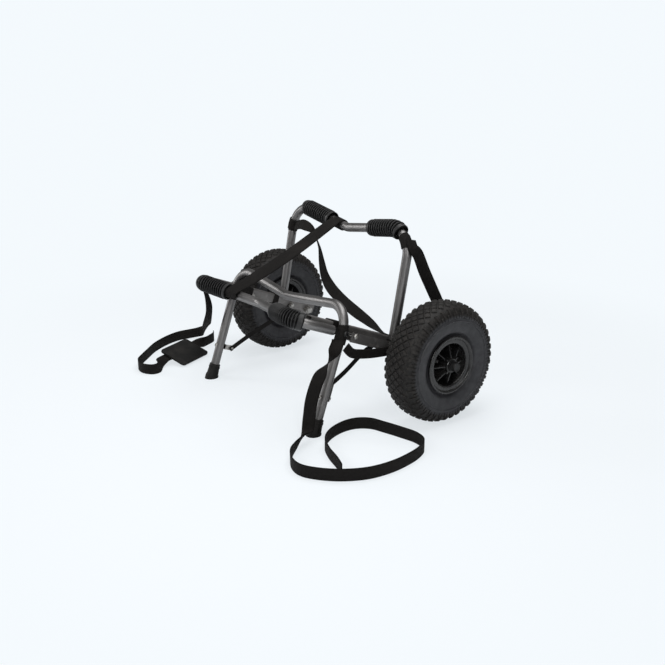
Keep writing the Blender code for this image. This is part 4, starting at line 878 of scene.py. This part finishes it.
def block(middle, size, turn, rise=BLOCK_LIFT, taper=0.86, cuts=2):
    """A tapered block with softened top edges, still flat: x runs round the tyre and y across it."""
    bm = bmesh.new()
    corners = bmesh.ops.create_cube(bm, size=1)["verts"]
    for vert in corners:
        narrow = taper if vert.co.z > 0 else 1.0
        vert.co = Vector((vert.co.x * size[0] * narrow, vert.co.y * size[1] * narrow, (vert.co.z + 0.5) * rise))
    bmesh.ops.subdivide_edges(
        bm, edges=[e for e in bm.edges if abs(e.verts[0].co.y - e.verts[1].co.y) > size[1] / 2], cuts=cuts
    )
    top = [e for e in bm.edges if min(v.co.z for v in e.verts) > rise / 2 and not e.is_boundary and e.calc_face_angle(0) > 0.7]
    bmesh.ops.bevel(bm, geom=top, offset=0.0005, segments=1, profile=0.5, affect="EDGES", material=-1)
    bmesh.ops.rotate(bm, verts=bm.verts, cent=(0, 0, 0), matrix=Matrix.Rotation(turn, 3, "Z"))
    bmesh.ops.translate(bm, verts=bm.verts, vec=(*middle, -0.0006))
    mesh = bpy.data.meshes.new("block")
    bm.to_mesh(mesh)
    bm.free()
    return mesh


# One pitch of the tread: diamonds in five staggered rows, then a long lug and a short one per shoulder
diamond = PITCH_LENGTH / math.sqrt(2) - GROOVE
pattern = []
for row in DIAMOND_ROWS:
    middle = (PITCH_LENGTH / 2 * (row % 2), PITCH_LENGTH / 2 * row)
    pattern.append(block(middle, (diamond, diamond), math.radians(45)))
for edge in (-1, 1):
    outer = HALF_CROWN - 0.0015
    pattern.append(block((PITCH_LENGTH / 2, edge * (outer - 0.0120)), (0.0088, 0.0240), 0.0, taper=0.82, cuts=5))
    pattern.append(block((0.0, edge * (outer - 0.0060)), (0.0062, 0.0110), 0.0, taper=0.80, cuts=3))
one_pitch = bmesh.new()
for mesh in pattern:
    one_pitch.from_mesh(mesh)
    bpy.data.meshes.remove(mesh)
for vert in one_pitch.verts:
    fade = min(1.0, 0.25 + (HALF_CROWN - abs(vert.co.y)) / FADE_FROM)
    x, radius_here = on_crown(vert.co.y, vert.co.z * fade if vert.co.z > 0 else vert.co.z)
    theta = vert.co.x / 0.1275
    vert.co = Vector((x, radius_here * math.sin(theta), radius_here * math.cos(theta)))
pitch_mesh = bpy.data.meshes.new("pitch")
one_pitch.to_mesh(pitch_mesh)
one_pitch.free()
for side, sign in SIDES.items():
    out = ACROSS * sign
    hub = AXLE + out * HALF_TRACK
    inner = [(max(0.0, x - 0.0055), r - (0.0050 if r > 0.1 else 0.0)) for x, r in CARCASS]
    inner[0] = (0.0245, 0.0568)
    whole = CARCASS + [(-x, r) for x, r in reversed(CARCASS[:-1])]
    whole += [(-x, r) for x, r in inner[:-1]] + [(x, r) for x, r in reversed(inner)]
    bm = spun(whole, Vector(), ACROSS, Vector((0, 0, 1)), 144)
    for _ in range(PITCHES):
        pitch_mesh.transform(Matrix.Rotation(PITCH, 4, "X"))
        bm.from_mesh(pitch_mesh)
    bmesh.ops.translate(bm, verts=bm.verts, vec=hub)
    bmesh.ops.recalc_face_normals(bm, faces=bm.faces)
    piece(f"tyre_{side}_tread", bm, tyre_rubber, f"wheel_{side}", f"tyre_{side}", sharp=40)
bpy.data.meshes.remove(pitch_mesh)


# Webbing: black polypropylene straps, woven in fine ribs along their length, with turned edges.
# Turns of it bind the kickstand's crossings and the rear arms.
WEB_THICK = 0.0020
TIE_WIDTH = 0.0255
BOARD_WIDTH = 0.032


def woven(name, width, dark, light):
    """A ribbed weave that follows the strap: fine cords along it and picks across it."""
    finish = Finish(name, dark, 0.8, Specular_IOR_Level=0.15)
    along = finish.node("ShaderNodeAttribute", output="Fac", attribute_name="along")
    across = finish.node("ShaderNodeAttribute", output="Fac", attribute_name="across")
    cords = (across * (math.tau / 0.0019)).math("SINE")
    picks = (along * (math.tau / 0.0013) + cords * 1.5).math("SINE")
    weave = 0.5 + 0.28 * picks + 0.22 * cords
    edge = across.math("ABSOLUTE").limited(width / 2 - 0.0022, width / 2 - 0.0008)
    fuzz = finish.noise(800, 3, 0.7)
    faded = finish.noise(18, 4, 0.6)
    shade = finish.mix(weave.limited(0.1, 0.95), dark, light)
    shade = finish.mix(faded.limited(0.45, 0.8) * 0.4, shade, [c * 1.6 for c in light])
    finish.set(
        Base_Color=finish.mix(edge * 0.5, shade, [c * 0.6 for c in dark]),
        Roughness=0.72 + 0.16 * fuzz,
    )
    finish.bump(weave + 0.4 * fuzz, 0.00035, 0.7)
    return finish


webbing = woven("black_webbing", TIE_WIDTH, (0.0025, 0.0022, 0.0020), (0.013, 0.0115, 0.0105))
board_webbing = woven("wide_webbing", BOARD_WIDTH, (0.0025, 0.0022, 0.0020), (0.014, 0.0125, 0.0115))


def strap_section(width, thick):
    """A flat strap's outline with rounded edges."""
    half, deep = width / 2, thick / 2
    return [
        (-half + deep * 0.4, -deep), (-half * 0.5, -deep), (0.0, -deep), (half * 0.5, -deep), (half - deep * 0.4, -deep),
        (half - deep * 0.1, -deep * 0.6), (half, 0.0), (half - deep * 0.1, deep * 0.6),
        (half - deep * 0.4, deep), (half * 0.5, deep), (0.0, deep), (-half * 0.5, deep), (-half + deep * 0.4, deep),
        (-half + deep * 0.1, deep * 0.6), (-half, 0.0), (-half + deep * 0.1, -deep * 0.6),
    ]


def smooth(stops, per_span):
    """Points and width directions on a curve through the stops, whose tuples start under the axle."""
    places = [place if isinstance(place, Vector) else UNDER_AXLE + Vector(place) for place, _ in stops]
    widths = [Vector(w).normalized() for _, w in stops]

    def between(values, i, t):
        a = values[max(i - 1, 0)]
        b = values[i]
        c = values[i + 1]
        d = values[min(i + 2, len(values) - 1)]
        return 0.5 * (2 * b + (c - a) * t + (2 * a - 5 * b + 4 * c - d) * t * t + (3 * b - a - 3 * c + d) * t ** 3)

    line = []
    for i in range(len(places) - 1):
        for k in range(per_span):
            line.append((between(places, i, k / per_span), between(widths, i, k / per_span)))
    line.append((places[-1], widths[-1]))
    return line


def strap(name, stops, width, finish, body, *stands_for, thick=WEB_THICK, per_span=8):
    """A flat strap along the stops of (place, direction of its width); returns it and its line."""
    line = smooth(stops, per_span)
    stations = []
    for i, (point, across) in enumerate(line):
        going = (line[min(i + 1, len(line) - 1)][0] - line[max(i - 1, 0)][0]).normalized()
        face = going.cross(across).normalized()
        across = face.cross(going).normalized()
        stations.append(Matrix.Translation(point) @ Matrix((across, face, going)).transposed().to_4x4())
    bm = swept(strap_section(width, thick), stations)
    return piece(name, bm, finish, body, *stands_for, sharp=70), [point for point, _ in line]


def length_of(points):
    return sum((b - a).length for a, b in zip(points, points[1:]))


def wound(name, route, start, end, body, *stands_for):
    """Two lapped turns of webbing round the tube, a little askew."""
    reach = end - start
    inner_r = TUBE_R + 0.0003
    layers = (
        (start, start + reach * 0.86, inner_r, 0.0113, 0.05),
        (start + reach * 0.16, end, 0.0108, 0.0126, -0.07),
    )
    whole = bmesh.new()
    for low, high, bore, radius, tilt in layers:
        profile = [(low, bore + 0.0002), (low, radius - 0.0004), (low + 0.0005, radius)]
        profile += [(mark, radius) for mark in route.even(low + 0.003, high - 0.003, 0.004)]
        profile += [(high - 0.0005, radius), (high, radius - 0.0004), (high, bore + 0.0002)]
        ring = sleeve(route, profile, bore, 40, tilt)
        mesh = bpy.data.meshes.new("turn")
        ring.to_mesh(mesh)
        ring.free()
        whole.from_mesh(mesh)
        bpy.data.meshes.remove(mesh)
    return piece(name, whole, wrap_webbing, body, *stands_for, sharp=50)


wrap_webbing = Finish("wound_webbing", (0.005, 0.0045, 0.004), 0.8, Specular_IOR_Level=0.15)
cords = wrap_webbing.noise(1.0, 2, 0.5, wrap_webbing.place((250, 250, 250)))
ribs = wrap_webbing.node(
    "ShaderNodeTexWave", {"Vector": wrap_webbing.place(), "Scale": 160, "Distortion": 1.5, "Detail": 1}, output="Fac",
    wave_type="BANDS", bands_direction="DIAGONAL",
)
wrap_webbing.set(
    Base_Color=wrap_webbing.mix(ribs * 0.6 + cords * 0.4, (0.0025, 0.0022, 0.0020), (0.014, 0.0125, 0.0115)),
    Roughness=0.7 + 0.2 * cords,
)
wrap_webbing.bump(ribs + 0.5 * cords, 0.0003, 0.6)
wound("arm_wrap_left_turns", rear_route, -0.247, -0.218, "rear_frame", "arm_wrap_left")
wound("board_strap_loop_turns", rear_route, -0.048, -0.015, "rear_frame", "board_strap_loop")
wound("rear_tie_turns", rear_route, 0.1885, 0.219, "rear_frame")
leg_mark = kick_route.marks[-1] + LEG_END
ABOVE_PIVOT = 0.015
BELOW_PIVOT = 0.023
for side, sign in SIDES.items():
    ends = sorted((sign * (leg_mark - ABOVE_PIVOT), sign * (leg_mark + BELOW_PIVOT)))
    wound(f"leg_wrap_{side}_turns", kick_route, *ends, "kickstand", f"leg_wrap_{side}")


# More turns bind each rail where the kickstand crosses it, over the pivot bolt's nut. They are a
# rounded box in section, and a single narrow turn keeps a strap's end on the left rail.
RAIL_MIDDLE = 0.180
RAIL_HALF = (0.010, 0.011)
RAIL_LIFT = 0.005


def rail_turns(name, side, spans, thick, over_nut):
    """Bands of webbing round a rail; over_nut is how far they stand off its inner side."""
    sign = SIDES[side]
    whole = bmesh.new()
    for start, end, extra in spans:
        low, high = -RAIL_HALF[0] - over_nut - extra, RAIL_HALF[0] + 0.0002
        deep = RAIL_HALF[1] + thick + extra
        bm = bmesh.new()
        made = bmesh.ops.create_cube(bm, size=1)["verts"]
        for vert in made:
            x = sign * (RAIL_MIDDLE + (low if vert.co.x < 0 else high))
            lift = RAIL_LIFT + (deep if vert.co.z > 0 else -deep)
            vert.co = on_rail(start if vert.co.y < 0 else end, lift, x)
        bmesh.ops.recalc_face_normals(bm, faces=bm.faces)
        lengthways = [e for e in bm.edges if abs((e.verts[0].co - e.verts[1].co).normalized().dot(ALONG)) > 0.9]
        bmesh.ops.bevel(bm, geom=lengthways, offset=0.0045, segments=5, profile=0.5, affect="EDGES", material=-1)
        rims = [e for e in bm.edges if e.calc_face_angle(0) > 1.2]
        bmesh.ops.bevel(bm, geom=rims, offset=0.0006, segments=2, profile=0.5, affect="EDGES", material=-1)
        mesh = bpy.data.meshes.new("turn")
        bm.to_mesh(mesh)
        bm.free()
        whole.from_mesh(mesh)
        bpy.data.meshes.remove(mesh)
    piece(name, whole, wrap_webbing, "chassis", sharp=50)


for side in SIDES:
    rail_turns(f"crossing_{side}_turns", side, ((0.176, 0.202, 0.0), (0.186, 0.2135, 0.0011)), 0.0012, 0.0078)
rail_turns("rail_left_turn", "left", ((0.094, 0.108, 0.0),), 0.0016, 0.0022)


# Tie straps. The right one comes off its turns at the leg, hangs down and lies on its edge in a loop.
UPRIGHT = (0, 0, 1)
LEVEL = (0.61, 0.79, 0)
EDGE_Z = TIE_WIDTH / 2 + 0.0008
right_tie, line = strap("tie_strap_right_web", [
    ((0.2125, -0.1985, 0.1930), (-0.6, -0.79, 0.1)), ((0.2180, -0.2045, 0.1880), (-0.6, -0.79, 0.1)),
    ((0.2230, -0.2160, 0.1770), (-0.35, -0.88, 0.2)), ((0.2260, -0.2330, 0.1580), (0.7, -0.65, 0.3)),
    ((0.2260, -0.2590, 0.1260), LEVEL), ((0.2260, -0.2750, 0.088), LEVEL), ((0.2260, -0.2820, 0.048), LEVEL),
    ((0.2290, -0.2890, 0.026), (0.6, 0.7, 0.4)), ((0.2420, -0.3160, 0.0170), (0.3, 0.2, 0.9)),
    ((0.2700, -0.3560, EDGE_Z), UPRIGHT), ((0.3050, -0.3790, EDGE_Z), UPRIGHT), ((0.3400, -0.3830, EDGE_Z), UPRIGHT),
    ((0.3740, -0.3640, EDGE_Z), UPRIGHT), ((0.4040, -0.3320, EDGE_Z), UPRIGHT), ((0.4250, -0.2900, EDGE_Z), UPRIGHT),
    ((0.4310, -0.2400, EDGE_Z), UPRIGHT), ((0.4250, -0.1900, EDGE_Z), UPRIGHT), ((0.4130, -0.1520, EDGE_Z), UPRIGHT),
    ((0.3950, -0.1280, EDGE_Z), UPRIGHT), ((0.3640, -0.1200, EDGE_Z), UPRIGHT), ((0.3260, -0.1270, EDGE_Z), UPRIGHT),
    ((0.2880, -0.1370, EDGE_Z), UPRIGHT), ((0.2560, -0.1480, EDGE_Z), UPRIGHT), ((0.2370, -0.1730, EDGE_Z), UPRIGHT),
    ((0.2350, -0.2070, EDGE_Z), UPRIGHT), ((0.2480, -0.2460, EDGE_Z), UPRIGHT), ((0.2740, -0.2780, EDGE_Z), UPRIGHT),
    ((0.3130, -0.2980, EDGE_Z), UPRIGHT), ((0.3550, -0.3110, EDGE_Z), UPRIGHT), ((0.3850, -0.3230, EDGE_Z), UPRIGHT),
], TIE_WIDTH, webbing, "chassis", "tie_strap_right")
print("tie_strap_right", round(length_of(line), 4))
length_of(line)

# The left one falls from the front arm, curls round on the ground and threads its buckle.
PAD_ACROSS = (-0.854, -0.391, 0.342)
left_tie, left_line = strap("tie_strap_left_web", [
    ((-0.2052, -0.2697, 0.2259), (-0.84, 0.47, 0.0)), ((-0.2090, -0.2580, 0.2000), (-0.7, 0.7, 0.1)),
    ((-0.2240, -0.2450, 0.1640), (-0.4, 0.85, 0.3)), ((-0.2620, -0.2300, 0.1220), (0.0, 0.9, 0.35)),
    ((-0.3300, -0.1960, 0.0850), (0.2, 0.85, 0.4)), ((-0.4150, -0.1500, 0.0480), (0.0, 0.6, 0.8)),
    ((-0.4750, -0.1340, 0.0210), UPRIGHT), ((-0.4960, -0.1560, EDGE_Z), UPRIGHT), ((-0.4970, -0.1900, EDGE_Z), UPRIGHT),
    ((-0.4820, -0.2330, EDGE_Z), UPRIGHT), ((-0.4530, -0.2800, EDGE_Z), UPRIGHT), ((-0.4180, -0.3180, EDGE_Z), UPRIGHT),
    ((-0.3920, -0.3450, EDGE_Z), UPRIGHT), ((-0.3650, -0.3690, EDGE_Z), UPRIGHT), ((-0.3320, -0.3750, EDGE_Z), UPRIGHT),
    ((-0.3080, -0.3610, EDGE_Z), UPRIGHT), ((-0.3100, -0.3410, EDGE_Z), (-0.2, -0.1, 0.95)),
    ((-0.3300, -0.3280, 0.0170), (-0.6, -0.35, 0.7)), ((-0.3460, -0.3082, 0.0180), PAD_ACROSS),
    ((-0.3540, -0.2907, 0.01825), PAD_ACROSS), ((-0.3801, -0.2336, 0.01825), PAD_ACROSS),
    ((-0.3959, -0.1991, 0.0180), PAD_ACROSS), ((-0.4040, -0.1790, 0.0165), (-0.6, -0.35, 0.7)),
    ((-0.4130, -0.1560, EDGE_Z), UPRIGHT), ((-0.4240, -0.1340, EDGE_Z), UPRIGHT), ((-0.4340, -0.1190, EDGE_Z), UPRIGHT),
    ((-0.4470, -0.1110, EDGE_Z), UPRIGHT),
], TIE_WIDTH, webbing, "chassis", "tie_strap_left")
print("tie_strap_left", round(length_of(left_line), 4))

# The rear one leaves its turns on the right arm and hangs down behind the wheel.
rear_tie, line = strap("tie_strap_rear_web", [
    ((0.2073, -0.0041, 0.3705), (0, 0.98, -0.19)),
    ((0.2180, -0.0072, 0.3551), (0.05, 1, 0.1)), ((0.2210, 0.0020, 0.3430), (0.1, 0.9, 0.3)),
    ((0.2190, 0.0110, 0.3300), (0.2, 0.8, 0.45)), ((0.2160, 0.0290, 0.2980), (0.31, 0.63, 0.42)),
    ((0.2140, 0.0520, 0.2600), (0.31, 0.63, 0.4)), ((0.2140, 0.0740, 0.2200), (0.31, 0.7, 0.3)),
    ((0.2150, 0.0900, 0.1750), (0.31, 0.9, 0.2)), ((0.2150, 0.0970, 0.1300), (0.31, 0.95, 0)),
    ((0.2150, 0.1000, 0.0850), (0.31, 0.95, 0)),
], TIE_WIDTH, webbing, "rear_frame", "tie_strap_rear")
print("tie_strap_rear", round(length_of(line), 4))
length_of(line)


# The sling: a strap that leaves the left arm, sags behind the kickstand and ends over the right rail
SLING_TOP = UNDER_AXLE + Vector((-0.1050, -0.0380, 0.3490))
SLING_FOOT = UNDER_AXLE + Vector((0.0700, -0.0430, 0.1920))
sling, line = strap("sling_strap_web", [
    ((-0.1846, -0.0238, 0.3284), (0, -0.19, -0.97)), ((-0.1720, -0.0270, 0.3420), (0, -0.4, -0.92)),
    ((-0.1350, -0.0360, 0.3530), (0.1, -0.6, -0.8)), ((-0.1050, -0.0380, 0.3480), (0.45, -0.8, -0.4)),
    ((-0.0810, -0.0380, 0.3320), (0.8, -0.6, 0.2)), ((-0.0650, -0.0380, 0.3080), (0.9, -0.4, 0.1)),
    ((-0.0570, -0.0380, 0.2780), (1, -0.1, 0.1)), ((-0.0460, -0.0380, 0.2480), (0.9, 0.2, 0.4)),
    ((-0.0220, -0.0380, 0.2240), (0.6, 0.6, 0.55)), ((0.0200, -0.0400, 0.2060), (0.35, 0.8, 0.5)),
    ((0.0700, -0.0430, 0.1920), (0.3, 0.75, 0.6)), ((0.1250, -0.0480, 0.1810), (0.15, 0.95, 0.15)), ((0.1640, -0.0505, 0.1704), -ALONG),
    ((0.1860, -0.0505, 0.1690), -ALONG),
], TIE_WIDTH, webbing, ("rear_frame", "chassis", SLING_TOP, SLING_FOOT), "sling_strap")
print("sling_strap", round(length_of(line), 4))
length_of(line)

# The short strap under the right bracket, snug along its side
rail_strap, line = strap("rail_strap_right_web", [
    ((0.2229, -0.1870, 0.1790), (0, -0.5, 0.8)), ((0.2229, -0.172, 0.1630), (0, -0.2, 1)),
    ((0.2229, -0.150, 0.1560), (0, 0, 1)), ((0.2229, -0.120, 0.1505), (0, 0, 1)),
    ((0.2229, -0.092, 0.1475), (0, 0, 1)), ((0.2229, -0.067, 0.1455), (0, 0, 1)),
], 0.020, webbing, "chassis", "rail_strap_right")
print("rail_strap_right", round(length_of(line), 4))
length_of(line)

# The board strap goes over the front bar beside its left pad and runs back to the loop on the rear
# bar. Its face is left bare, in plain black weave.
BAR_TOP = UNDER_AXLE + Vector((-0.0618, -0.2343, 0.2625))
LOOP_FRONT = UNDER_AXLE + Vector((-0.0359, -0.0535, 0.3568))
board_strap, line = strap("board_strap_web", [
    ((-0.0667, -0.2759, 0.2311), (0.955, 0.275, -0.111)), ((-0.0665, -0.2772, 0.2414), (0.955, 0.275, -0.111)),
    ((-0.0660, -0.2703, 0.2483), (0.955, 0.275, -0.111)), ((-0.0618, -0.2343, 0.2625), (0.94, 0.1, -0.25)),
    ((-0.0540, -0.1773, 0.2888), (0.93, 0.0, -0.36)), ((-0.0450, -0.1154, 0.3210), (0.93, 0.0, -0.36)),
    ((-0.0359, -0.0535, 0.3568), (0.95, 0.0, -0.28)), ((-0.0300, -0.0163, 0.3786), (0.98, 0.0, -0.15)),
], BOARD_WIDTH, board_webbing, ("chassis", "rear_frame", BAR_TOP, LOOP_FRONT), "board_strap")
print("board_strap", round(length_of(line), 4))
length_of(line)

# Limit straps: narrow webbing from each leg's tab to the rear pivot bolt, which stop the kickstand
limit_webbing = woven("narrow_webbing", 0.011, (0.0035, 0.003, 0.0028), (0.015, 0.0135, 0.0125))
TAB_REACH = {"left": 0.034, "right": 0.020}
TAB_ABOVE = {"left": 0.006, "right": 0.030}
TAB_INNER = FRAME_HALF - 0.0090
for side, sign in SIDES.items():
    out = ACROSS * sign
    rivet = TAB_CENTRE + BEHIND * (TAB_REACH[side] - 0.006) + KICK_UP * (TAB_ABOVE[side] - 0.006)
    start = rivet + out * (TAB_INNER - 2 * GAP - LIMIT_THICK / 2)
    end = REAR_CENTRE + out * STRAP_X
    going = (end - start).normalized()
    width = going.cross(ACROSS).normalized()
    stops = [start - going * 0.006, start + going * 0.004, start.lerp(end, 0.30)]
    stops[0].x = stops[1].x = start.x
    for share in (0.70, 0.85):
        stops.append(start.lerp(end, share))
        stops[-1].x = end.x
    stops.append(end + going * 0.006)
    stops[-1].x = end.x
    band, line = strap(
        f"limit_strap_{side}_web", [(stop, width) for stop in stops], 0.011, limit_webbing,
        ("kickstand", "chassis", stops[1], stops[-2]), f"limit_strap_{side}", thick=LIMIT_THICK,
    )


# The buckle: a black coated cam buckle on a rubber pad that keeps it off the board, on the left tie
PAD_MIDDLE = UNDER_AXLE + Vector((-0.358, -0.2455, 0.019))
pad_along = Vector((-0.416, 0.909, 0)).normalized()
pad_across = Vector(PAD_ACROSS).normalized()
pad_out = pad_along.cross(pad_across)
pad_place = Matrix.Translation(PAD_MIDDLE) @ Matrix((pad_along, pad_across, pad_out)).transposed().to_4x4()
bm = bmesh.new()
made = bmesh.ops.create_cube(bm, size=1)["verts"]
bmesh.ops.scale(bm, vec=(0.104, 0.076, 0.006), verts=made)
upright_edges = [e for e in bm.edges if abs(e.verts[0].co.z - e.verts[1].co.z) > 0.003]
bmesh.ops.bevel(bm, geom=upright_edges, offset=0.008, segments=6, profile=0.5, affect="EDGES", material=-1)
rim_edges = [e for e in bm.edges if abs(e.verts[0].co.z - e.verts[1].co.z) < 1e-6 and e.calc_face_angle(0) > 0.5]
bmesh.ops.bevel(bm, geom=rim_edges, offset=0.0012, segments=3, profile=0.5, affect="EDGES", material=-1)
bmesh.ops.transform(bm, matrix=pad_place, verts=bm.verts)
bmesh.ops.recalc_face_normals(bm, faces=bm.faces)
buckle_pad = piece("buckle_pad_rubber", bm, boot_rubber, "chassis", "buckle_pad")
black_coat = Finish("black_coating", (0.008, 0.008, 0.008), 0.3, 0.3)
chips = black_coat.noise(130, 3, 0.65).limited(0.62, 0.70)
black_coat.set(
    Base_Color=black_coat.mix(chips * 0.7, (0.006, 0.006, 0.0062), (0.16, 0.155, 0.15)),
    Roughness=0.28 + 0.2 * black_coat.noise(60, 3),
)
dress(black_coat, "buckle_body", "buckle_lever")
length_of(left_line)
